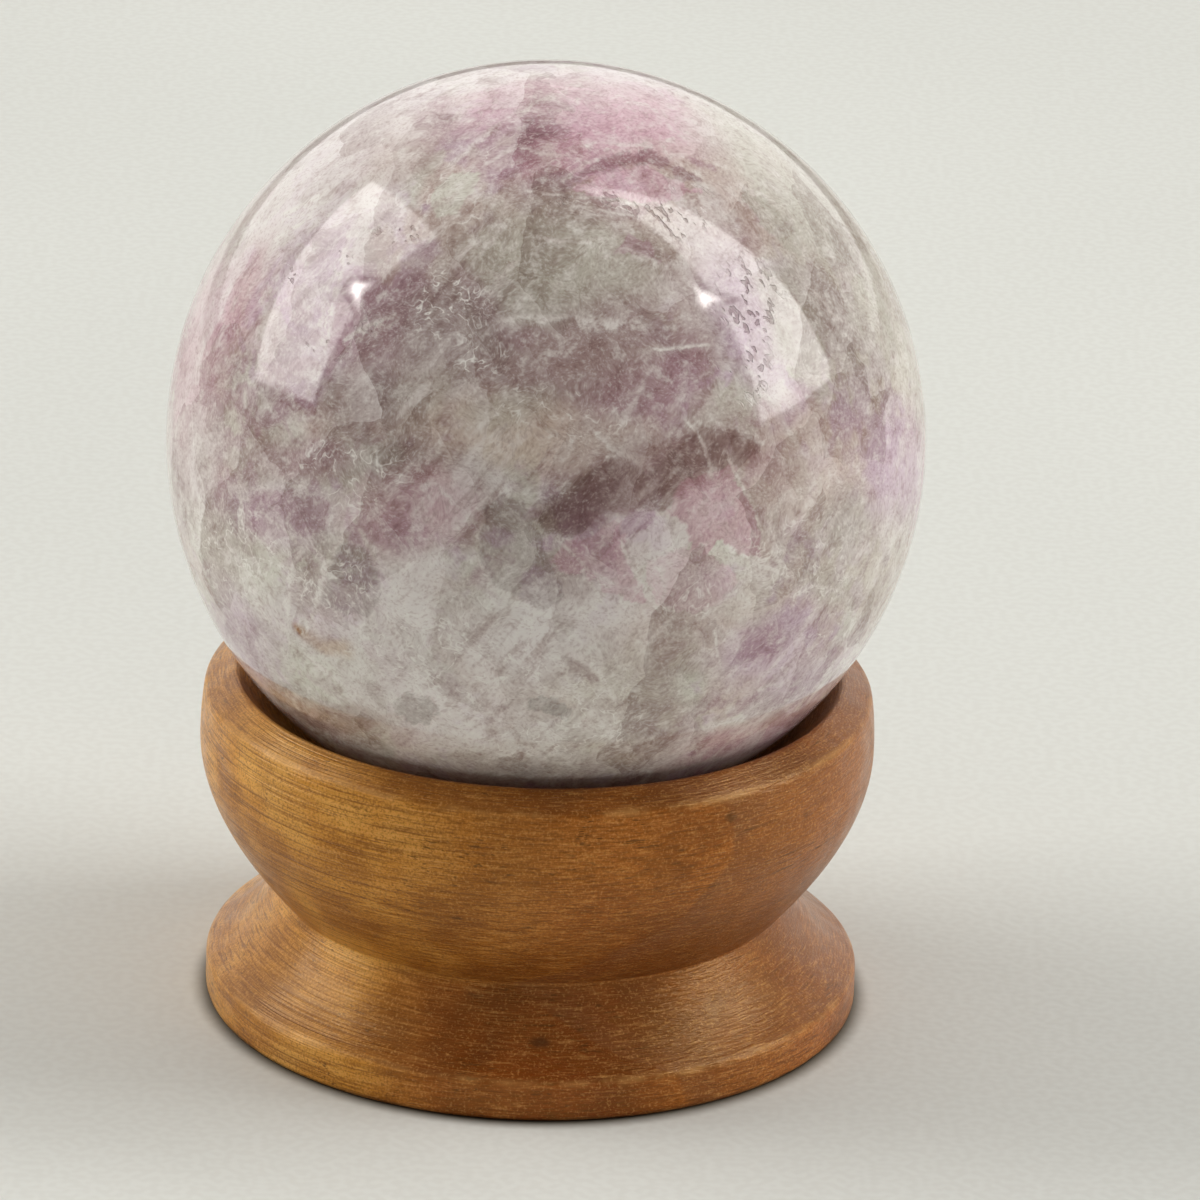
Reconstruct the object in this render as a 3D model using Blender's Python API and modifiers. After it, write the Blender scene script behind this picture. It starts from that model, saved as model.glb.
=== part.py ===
"""A polished stone sphere resting in a small turned wooden stand.

Run with: blender --background --python part.py
Units are metres and +Z is up. The origin is the centre of the stand's underside, and +Z is the
turning axis that the sphere and the stand share.
"""

import math

import bpy

# The sphere
SPHERE_DIAMETER = 0.0500

# The dish that the sphere rests in, turned to a slightly larger radius than the sphere
DISH_RELIEF = 0.0020       # the dish's radius of curvature, over the sphere's own radius
SPHERE_SINK = 0.00875      # how far the sphere's lowest point lies below the lip's inner edge
SEAT_GAP = 0.0003          # running gap between the sphere and the dish where they meet

# The lip around the dish
STAND_HEIGHT = 0.0231      # floor to the lip's inner edge, the highest point of the wood
LIP_WIDTH = 0.0020         # inner edge to outer crest, measured flat
LIP_FALL = 0.0011          # how much lower the outer crest is than the inner edge
LIP_INNER_ROUND = 0.0004
LIP_OUTER_ROUND = 0.0004

# The outside of the cup
CUP_BULGE = 0.0003         # how far the belly stands out past the lip's crest
SHOULDER_DROP = 0.0037     # from the lip's crest down to the belly's widest point
BELLY_PULL = 0.0046        # length of the curve's upright pull below the widest point

# The waist and the flared foot
WAIST_DIAMETER = 0.0343
WAIST_HEIGHT = 0.0078
FOOT_DIAMETER = 0.0437
FOOT_EDGE_HEIGHT = 0.0028
FOOT_UPPER_ROUND = 0.0005
FOOT_LOWER_ROUND = 0.0006
COVE_SAG = 0.0006          # how far the flare is hollowed below a straight cone

# Facets
SIDES = 64                 # around the turning axis, for the sphere and the stand alike
SPHERE_RINGS = 32
DISH_STEPS = 8
BELLY_STEPS = 8
SHOULDER_STEPS = 2
COVE_STEPS = 5
ROUND_STEPS = 3
MERGE_DISTANCE = 0.00001

# Plain finishes for the model itself
STONE_COLOUR = (0.52, 0.46, 0.48, 1.0)
STONE_ROUGHNESS = 0.15
WOOD_COLOUR = (0.42, 0.21, 0.07, 1.0)
WOOD_ROUGHNESS = 0.42

# Places worked out from the sizes above
SPHERE_RADIUS = SPHERE_DIAMETER / 2
SPHERE_CENTRE_HEIGHT = STAND_HEIGHT - SPHERE_SINK + SPHERE_RADIUS
DISH_RADIUS = SPHERE_RADIUS + DISH_RELIEF
DISH_DEPTH = SPHERE_SINK + SEAT_GAP
MOUTH_RADIUS = math.sqrt(2 * DISH_RADIUS * DISH_DEPTH - DISH_DEPTH**2)
CREST_RADIUS = MOUTH_RADIUS + LIP_WIDTH
CREST_HEIGHT = STAND_HEIGHT - LIP_FALL
CUP_RADIUS = CREST_RADIUS + CUP_BULGE
CUP_WIDEST_HEIGHT = CREST_HEIGHT - SHOULDER_DROP
WAIST_RADIUS = WAIST_DIAMETER / 2
FOOT_RADIUS = FOOT_DIAMETER / 2


def clear_scene():
    """Removes every object of the scene that the script starts in."""
    for old in list(bpy.data.objects):
        bpy.data.objects.remove(old)


def new_collection(name):
    """Returns a new collection linked to the scene."""
    collection = bpy.data.collections.new(name)
    bpy.context.scene.collection.children.link(collection)
    return collection


def new_material(name, colour, roughness):
    """Returns a plain finish of one colour and roughness."""
    material = bpy.data.materials.new(name)
    material.use_nodes = True
    shader = material.node_tree.nodes["Principled BSDF"]
    shader.inputs["Base Color"].default_value = colour
    shader.inputs["Roughness"].default_value = roughness
    return material


def quadratic_curve(start, pull, end, steps):
    """Returns the points of a quadratic curve after its start, where pull bends it."""
    points = []
    for step in range(1, steps + 1):
        t = step / steps
        weights = ((1 - t) ** 2, 2 * t * (1 - t), t**2)
        points.append(tuple(
            weights[0] * a + weights[1] * b + weights[2] * c
            for a, b, c in zip(start, pull, end)
        ))
    return points


def toward(start, end, distance):
    """Returns the point at that distance from start on the line to end."""
    share = distance / math.dist(start, end)
    return tuple(a + share * (b - a) for a, b in zip(start, end))


def rounded_corner(before, corner, after, cut):
    """Returns the points of a corner whose tip is rounded, starting cut away from it on each side."""
    start = toward(corner, before, cut)
    end = toward(corner, after, cut)
    return [start] + quadratic_curve(start, corner, end, ROUND_STEPS)


def dish_profile():
    """Returns the dish's arc, from its lowest point on the axis to just inside the lip."""
    bottom = STAND_HEIGHT - DISH_DEPTH
    mouth_angle = math.asin(MOUTH_RADIUS / DISH_RADIUS)
    last_angle = mouth_angle - LIP_INNER_ROUND / DISH_RADIUS
    points = []
    for step in range(DISH_STEPS + 1):
        angle = last_angle * step / DISH_STEPS
        height = bottom + DISH_RADIUS * (1 - math.cos(angle))
        points.append((DISH_RADIUS * math.sin(angle), height))
    return points


def cup_profile(dish_end):
    """Returns the lip, the shoulder and the belly, from the dish's end down to the waist's crease."""
    mouth = (MOUTH_RADIUS, STAND_HEIGHT)
    crest = (CREST_RADIUS, CREST_HEIGHT)
    widest = (CUP_RADIUS, CUP_WIDEST_HEIGHT)
    waist = (WAIST_RADIUS, WAIST_HEIGHT)
    shoulder_pull = (CUP_RADIUS, CREST_HEIGHT - SHOULDER_DROP / 2)
    belly_pull = (CUP_RADIUS, CUP_WIDEST_HEIGHT - BELLY_PULL)

    points = rounded_corner(dish_end, mouth, crest, LIP_INNER_ROUND)[1:]
    points += rounded_corner(mouth, crest, shoulder_pull, LIP_OUTER_ROUND)
    points += quadratic_curve(points[-1], shoulder_pull, widest, SHOULDER_STEPS)
    points += quadratic_curve(widest, belly_pull, waist, BELLY_STEPS)
    return points


def foot_profile():
    """Returns the hollow flare, the foot's edge and the underside, from the waist to the axis."""
    waist = (WAIST_RADIUS, WAIST_HEIGHT)
    crest = (FOOT_RADIUS, FOOT_EDGE_HEIGHT)
    heel = (FOOT_RADIUS, 0.0)
    slope = math.dist(waist, crest)
    inward = ((FOOT_EDGE_HEIGHT - WAIST_HEIGHT) / slope, (WAIST_RADIUS - FOOT_RADIUS) / slope)
    middle = tuple((a + b) / 2 for a, b in zip(waist, crest))
    pull = tuple(m + 2 * COVE_SAG * n for m, n in zip(middle, inward))

    crest_round = rounded_corner(pull, crest, heel, FOOT_UPPER_ROUND)
    points = quadratic_curve(waist, pull, crest_round[0], COVE_STEPS)
    points += crest_round[1:]
    points += rounded_corner(crest, heel, (0.0, 0.0), FOOT_LOWER_ROUND)
    points.append((0.0, 0.0))
    return points


def make_sphere(collection):
    """Makes the polished sphere, resting over the middle of the dish."""
    bpy.ops.mesh.primitive_uv_sphere_add(
        segments=SIDES,
        ring_count=SPHERE_RINGS,
        radius=SPHERE_RADIUS,
        location=(0.0, 0.0, SPHERE_CENTRE_HEIGHT),
    )
    sphere = bpy.context.active_object
    sphere.name = "stone_sphere"
    sphere.data.name = "stone_sphere"
    sphere.data.shade_smooth()
    sphere.data.materials.append(new_material("polished_stone", STONE_COLOUR, STONE_ROUGHNESS))
    for holder in sphere.users_collection:
        holder.objects.unlink(sphere)
    collection.objects.link(sphere)
    return sphere


def make_stand(collection):
    """Makes the turned stand by spinning one profile around the axis."""
    dish = dish_profile()
    profile = dish + cup_profile(dish[-1]) + foot_profile()
    mesh = bpy.data.meshes.new("wooden_stand")
    edges = [(i, i + 1) for i in range(len(profile) - 1)]
    mesh.from_pydata([(radius, 0.0, height) for radius, height in profile], edges, [])
    stand = bpy.data.objects.new("wooden_stand", mesh)
    collection.objects.link(stand)
    mesh.materials.append(new_material("turned_wood", WOOD_COLOUR, WOOD_ROUGHNESS))

    turn = stand.modifiers.new("turn", "SCREW")
    turn.axis = "Z"
    turn.angle = math.tau
    turn.steps = SIDES
    turn.render_steps = SIDES
    turn.use_merge_vertices = True
    turn.merge_threshold = MERGE_DISTANCE
    turn.use_smooth_shade = True
    return stand


def main():
    """Builds the sphere and its stand in a collection of their own."""
    clear_scene()
    collection = new_collection("decorative_sphere")
    make_stand(collection)
    make_sphere(collection)


main()
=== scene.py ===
"""Dresses the polished stone sphere and its turned wooden stand, and sets a plain studio round them.

Everything is in metres with +Z up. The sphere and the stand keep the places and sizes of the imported
model; what is added here is the fine surface, the finishes, the floor, the lights and the camera.
"""

import logging
import math
from collections.abc import Iterable, Sequence
from dataclasses import dataclass, field
from enum import Enum

import bmesh
import bpy
import numpy as np
from mathutils import Matrix, Vector, noise


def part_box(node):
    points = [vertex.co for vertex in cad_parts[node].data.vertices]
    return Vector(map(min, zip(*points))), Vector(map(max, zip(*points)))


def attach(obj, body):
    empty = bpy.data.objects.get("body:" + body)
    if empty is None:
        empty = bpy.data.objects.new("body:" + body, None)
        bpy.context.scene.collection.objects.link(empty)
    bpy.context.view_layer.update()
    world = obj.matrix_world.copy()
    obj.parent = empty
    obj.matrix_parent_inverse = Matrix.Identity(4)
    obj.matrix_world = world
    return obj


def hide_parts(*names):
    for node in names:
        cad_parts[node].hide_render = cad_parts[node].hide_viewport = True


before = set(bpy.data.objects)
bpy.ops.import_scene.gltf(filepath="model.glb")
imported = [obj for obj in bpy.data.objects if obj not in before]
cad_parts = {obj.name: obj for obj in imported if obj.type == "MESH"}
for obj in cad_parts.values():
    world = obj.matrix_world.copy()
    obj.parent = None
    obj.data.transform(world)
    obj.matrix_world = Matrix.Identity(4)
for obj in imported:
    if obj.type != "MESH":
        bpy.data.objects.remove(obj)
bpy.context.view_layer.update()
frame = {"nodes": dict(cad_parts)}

log = logging.getLogger("decorative_sphere")

MILLIMETRE = 0.001
PHOTO_WIDTH = 1200
SENSOR_WIDTH = 36.0

Feed = bpy.types.NodeSocket | float | Sequence[float]
Point = tuple[float, float]


# Colour helpers


def paint(red: int, green: int, blue: int) -> tuple[float, float, float, float]:
    """Turns a display colour into the linear one that a shader takes.

    Args:
        red: Red, from 0 to 255.
        green: Green, from 0 to 255.
        blue: Blue, from 0 to 255.

    Returns:
        The linear colour, with an alpha of 1.
    """

    def linear(value: int) -> float:
        """Returns one channel, made linear."""
        share = value / 255
        return share / 12.92 if share <= 0.04045 else ((share + 0.055) / 1.055) ** 2.4

    return (linear(red), linear(green), linear(blue), 1.0)


class StoneTone(Enum):
    """The colours that lie side by side in the stone."""

    MILK = paint(237, 231, 229)
    PALE_GREEN = paint(217, 215, 204)
    GREY_GREEN = paint(184, 179, 167)
    CREAM = paint(214, 196, 180)
    SAND = paint(213, 198, 191)
    LILAC = paint(208, 186, 202)
    PINK = paint(220, 186, 198)
    ROSE = paint(200, 162, 172)
    MAUVE = paint(172, 136, 148)
    DEEP_MAUVE = paint(142, 104, 112)
    UMBER = paint(124, 94, 90)
    TAUPE = paint(170, 148, 145)
    DARK_TAUPE = paint(142, 121, 119)
    GREY = paint(174, 165, 160)
    IRON = paint(158, 112, 62)


# Shader sheets


class ShaderSheet:
    """A material that is built node by node."""

    def __init__(self, name: str) -> None:
        """Starts a material with its Principled shader.

        Args:
            name: The material's name.
        """
        self.material = bpy.data.materials.new(name)
        self.material.use_nodes = True
        self.tree = self.material.node_tree
        self.shader = self.tree.nodes["Principled BSDF"]

    def add(self, kind: str) -> bpy.types.Node:
        """Returns a new node of that kind."""
        return self.tree.nodes.new(kind)

    def feed(self, socket: bpy.types.NodeSocket, value: Feed) -> None:
        """Joins a value to a socket, or writes it there.

        Args:
            socket: The input to fill.
            value: Another node's output, a number, a colour or a vector.
        """
        if isinstance(value, bpy.types.NodeSocket):
            self.tree.links.new(value, socket)
        else:
            socket.default_value = value

    def object_place(self) -> bpy.types.NodeSocket:
        """Returns the place on the piece, in metres."""
        return self.add("ShaderNodeTexCoord").outputs["Object"]

    def attribute(self, name: str) -> bpy.types.NodeSocket:
        """Returns the piece's own attribute of that name, as a number."""
        node = self.add("ShaderNodeAttribute")
        node.attribute_name = name
        return node.outputs["Fac"]

    def colour_attribute(self, name: str) -> bpy.types.NodeSocket:
        """Returns the piece's own attribute of that name, as a colour."""
        node = self.add("ShaderNodeAttribute")
        node.attribute_name = name
        return node.outputs["Color"]

    def local(
        self, place: Feed, centre: Sequence[float], turn: Sequence[float], size: Sequence[float]
    ) -> bpy.types.NodeSocket:
        """Measures a place from a centre, in a turned frame, in shares of a size.

        Args:
            place: The place.
            centre: Where the frame's origin lies.
            turn: The frame's Euler turn, in radians.
            size: What counts as 1 along each of the frame's axes.

        Returns:
            The place in that frame.
        """
        node = self.add("ShaderNodeMapping")
        node.vector_type = "TEXTURE"
        self.feed(node.inputs["Vector"], place)
        node.inputs["Location"].default_value = centre
        node.inputs["Rotation"].default_value = turn
        node.inputs["Scale"].default_value = size
        return node.outputs["Vector"]

    def noise(
        self,
        place: Feed,
        scale: float,
        detail: float = 3.0,
        rough: float = 0.5,
        kind: str = "FBM",
        colour: bool = False,
    ) -> bpy.types.NodeSocket:
        """Returns cloudy noise.

        Args:
            place: Where it is read.
            scale: Features for each unit of length.
            detail: How many finer layers it has.
            rough: How strong the finer layers are.
            kind: Blender's noise type.
            colour: True for three numbers at once, False for one.

        Returns:
            The noise, about 0.5 on average.
        """
        node = self.add("ShaderNodeTexNoise")
        node.noise_type = kind
        node.normalize = True
        self.feed(node.inputs["Vector"], place)
        node.inputs["Scale"].default_value = scale
        node.inputs["Detail"].default_value = detail
        node.inputs["Roughness"].default_value = rough
        return node.outputs["Color" if colour else "Fac"]

    def cells(
        self, place: Feed, scale: float, feature: str = "F1", output: str = "Distance"
    ) -> bpy.types.NodeSocket:
        """Returns one output of a Voronoi pattern.

        Args:
            place: Where it is read.
            scale: Cells for each unit of length.
            feature: F1, F2 or DISTANCE_TO_EDGE.
            output: Distance, Color or Position.

        Returns:
            The chosen output.
        """
        node = self.add("ShaderNodeTexVoronoi")
        node.feature = feature
        self.feed(node.inputs["Vector"], place)
        node.inputs["Scale"].default_value = scale
        return node.outputs[output]

    def math(self, operation: str, *values: Feed, clamp: bool = False) -> bpy.types.NodeSocket:
        """Returns the result of a sum on numbers.

        Args:
            operation: Blender's name for it.
            *values: One to three numbers.
            clamp: Whether to hold the result between 0 and 1.

        Returns:
            The result.
        """
        node = self.add("ShaderNodeMath")
        node.operation = operation
        node.use_clamp = clamp
        for socket, value in zip(node.inputs, values):
            self.feed(socket, value)
        return node.outputs["Value"]

    def vector(self, operation: str, *values: Feed) -> bpy.types.NodeSocket:
        """Returns the result of a sum on vectors.

        Args:
            operation: Blender's name for it.
            *values: One or two vectors, or a vector and the number that SCALE takes.

        Returns:
            The number or the vector that the sum gives.
        """
        node = self.add("ShaderNodeVectorMath")
        node.operation = operation
        self.feed(node.inputs[0], values[0])
        if operation == "SCALE":
            self.feed(node.inputs["Scale"], values[1])
        elif len(values) > 1:
            self.feed(node.inputs[1], values[1])
        number = operation in ("LENGTH", "DOT_PRODUCT", "DISTANCE")
        return node.outputs["Value" if number else "Vector"]

    def split(self, place: Feed) -> tuple[bpy.types.NodeSocket, ...]:
        """Returns a vector's three numbers."""
        node = self.add("ShaderNodeSeparateXYZ")
        self.feed(node.inputs["Vector"], place)
        return tuple(node.outputs)

    def join(self, x: Feed, y: Feed, z: Feed) -> bpy.types.NodeSocket:
        """Returns a vector of three numbers."""
        node = self.add("ShaderNodeCombineXYZ")
        for socket, value in zip(node.inputs, (x, y, z)):
            self.feed(socket, value)
        return node.outputs["Vector"]

    def band(
        self, value: Feed, start: float, end: float, low: float = 0.0, high: float = 1.0
    ) -> bpy.types.NodeSocket:
        """Eases a number from one level to another.

        Args:
            value: The number.
            start: Where it begins to change.
            end: Where it has changed.
            low: The level at start.
            high: The level at end.

        Returns:
            The eased number.
        """
        node = self.add("ShaderNodeMapRange")
        node.interpolation_type = "SMOOTHSTEP"
        self.feed(node.inputs["Value"], value)
        for name, number in zip(("From Min", "From Max", "To Min", "To Max"), (start, end, low, high)):
            node.inputs[name].default_value = number
        return node.outputs["Result"]

    def mix(self, share: Feed, first: Feed, second: Feed, mode: str = "MIX") -> bpy.types.NodeSocket:
        """Blends two colours.

        Args:
            share: How much of the second one shows, from 0 to 1.
            first: The colour beneath.
            second: The colour on top.
            mode: Blender's blend mode.

        Returns:
            The blended colour.
        """
        node = self.add("ShaderNodeMix")
        node.data_type = "RGBA"
        node.blend_type = mode
        factor, under, over = (node.inputs[index] for index in (0, 6, 7))
        self.feed(factor, share)
        self.feed(under, first)
        self.feed(over, second)
        return node.outputs[2]

    def ramp(self, value: Feed, stops: Iterable[tuple[float, Sequence[float]]]) -> bpy.types.NodeSocket:
        """Reads a colour from a scale of colours.

        Args:
            value: Where on the scale, from 0 to 1.
            stops: Places on the scale with their colours, in rising order.

        Returns:
            The colour there.
        """
        node = self.add("ShaderNodeValToRGB")
        self.feed(node.inputs["Fac"], value)
        marks = list(stops)
        elements = node.color_ramp.elements
        while len(elements) < len(marks):
            elements.new(1.0)
        for element, (position, colour) in zip(elements, marks):
            element.position = position
            element.color = colour
        return node.outputs["Color"]

    def warp(self, place: Feed, scale: float, reach: float, detail: float = 3.0) -> bpy.types.NodeSocket:
        """Pushes a place about by noise.

        Args:
            place: The place.
            scale: Features of the noise for each unit of length.
            reach: How far it can be pushed.
            detail: How many finer layers the noise has.

        Returns:
            The place after the push.
        """
        push = self.vector("SUBTRACT", self.noise(place, scale, detail, colour=True), (0.5, 0.5, 0.5))
        return self.vector("ADD", place, self.vector("SCALE", push, 2 * reach))

    def relief(self, height: Feed, depth: float, before: Feed | None = None) -> bpy.types.NodeSocket:
        """Returns a normal bent by a fine relief.

        Args:
            height: The relief, from 0 to 1.
            depth: How deep a full step is, in metres.
            before: The normal that it is laid on, if there is one.

        Returns:
            The bent normal.
        """
        node = self.add("ShaderNodeBump")
        node.inputs["Distance"].default_value = depth
        self.feed(node.inputs["Height"], height)
        if before is not None:
            self.feed(node.inputs["Normal"], before)
        return node.outputs["Normal"]


# The viewpoint


@dataclass(frozen=True)
class Viewpoint:
    """The camera that sees the piece as the photograph does.

    Angles are in degrees, and pixels are those of the 1200-pixel photograph.
    """

    elevation: float = 21.81
    roll: float = 1.85
    distance: float = 0.607
    focal_length: float = 270.0
    foot_across: float = 530.0
    foot_down: float = 985.0

    def turned(self) -> Matrix:
        """Returns the camera's turn: its right, its up and the way back from the scene."""
        tilt = math.radians(self.elevation)
        lean = math.radians(self.roll)
        ahead = Vector((0.0, math.cos(tilt), -math.sin(tilt)))
        level = Vector((1.0, 0.0, 0.0))
        upright = Vector((0.0, math.sin(tilt), math.cos(tilt)))
        right = level * math.cos(lean) + upright * math.sin(lean)
        up = upright * math.cos(lean) - level * math.sin(lean)
        return Matrix((right, up, -ahead)).transposed()

    def place(self) -> Vector:
        """Returns the camera's place, with the stand's foot at its pixel."""
        per_pixel = self.distance * SENSOR_WIDTH / (self.focal_length * PHOTO_WIDTH)
        middle = PHOTO_WIDTH / 2
        foot = Vector((
            (self.foot_across - middle) * per_pixel,
            (middle - self.foot_down) * per_pixel,
            -self.distance,
        ))
        return -(self.turned() @ foot)

    def build(self) -> bpy.types.Object:
        """Returns the scene's camera."""
        data = bpy.data.cameras.new("photo_camera")
        data.sensor_fit = "HORIZONTAL"
        data.sensor_width = SENSOR_WIDTH
        data.lens = self.focal_length
        data.clip_start = 0.01
        data.clip_end = 50.0
        camera = bpy.data.objects.new("photo_camera", data)
        bpy.context.scene.collection.objects.link(camera)
        camera.matrix_world = Matrix.Translation(self.place()) @ self.turned().to_4x4()
        bpy.context.scene.camera = camera
        return camera


VIEWPOINT = Viewpoint()


def facing(right: float, up: float, behind: bool = False) -> Vector:
    """Finds the point of a unit ball that the viewer sees at a place on its disc.

    Args:
        right: Shares of the radius to the right of the disc's middle.
        up: Shares of the radius above it.
        behind: True for the point on the far side, straight behind.

    Returns:
        The point, in the viewer's frame: right, up and towards the viewer.
    """
    depth = math.sqrt(max(0.0, 1.0 - right**2 - up**2))
    return Vector((right, up, -depth if behind else depth))


# The stone


@dataclass(frozen=True)
class Zone:
    """A soft patch of colour, as an ellipse on the photograph. The turn is anticlockwise, in degrees."""

    at: Point
    size: Point
    tone: StoneTone
    strength: float = 0.7
    turn: float = 0.0
    soft: float = 0.6
    behind: bool = False


@dataclass(frozen=True)
class Plate:
    """A flat cleavage plate with crisp edges, by its corners on the photograph."""

    corners: tuple[Point, ...]
    tone: StoneTone
    strength: float = 0.7
    behind: bool = False


@dataclass(frozen=True)
class Fracture:
    """A white healed crack, by the points that it runs through on the photograph."""

    points: tuple[Point, ...]
    strength: float = 0.6
    width: float = 2.2
    behind: bool = False


@dataclass(frozen=True)
class Spot:
    """A round or oval area of the photograph where the stone is frosted or its polish is open."""

    at: Point
    size: Point
    strength: float = 1.0
    behind: bool = False


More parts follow.
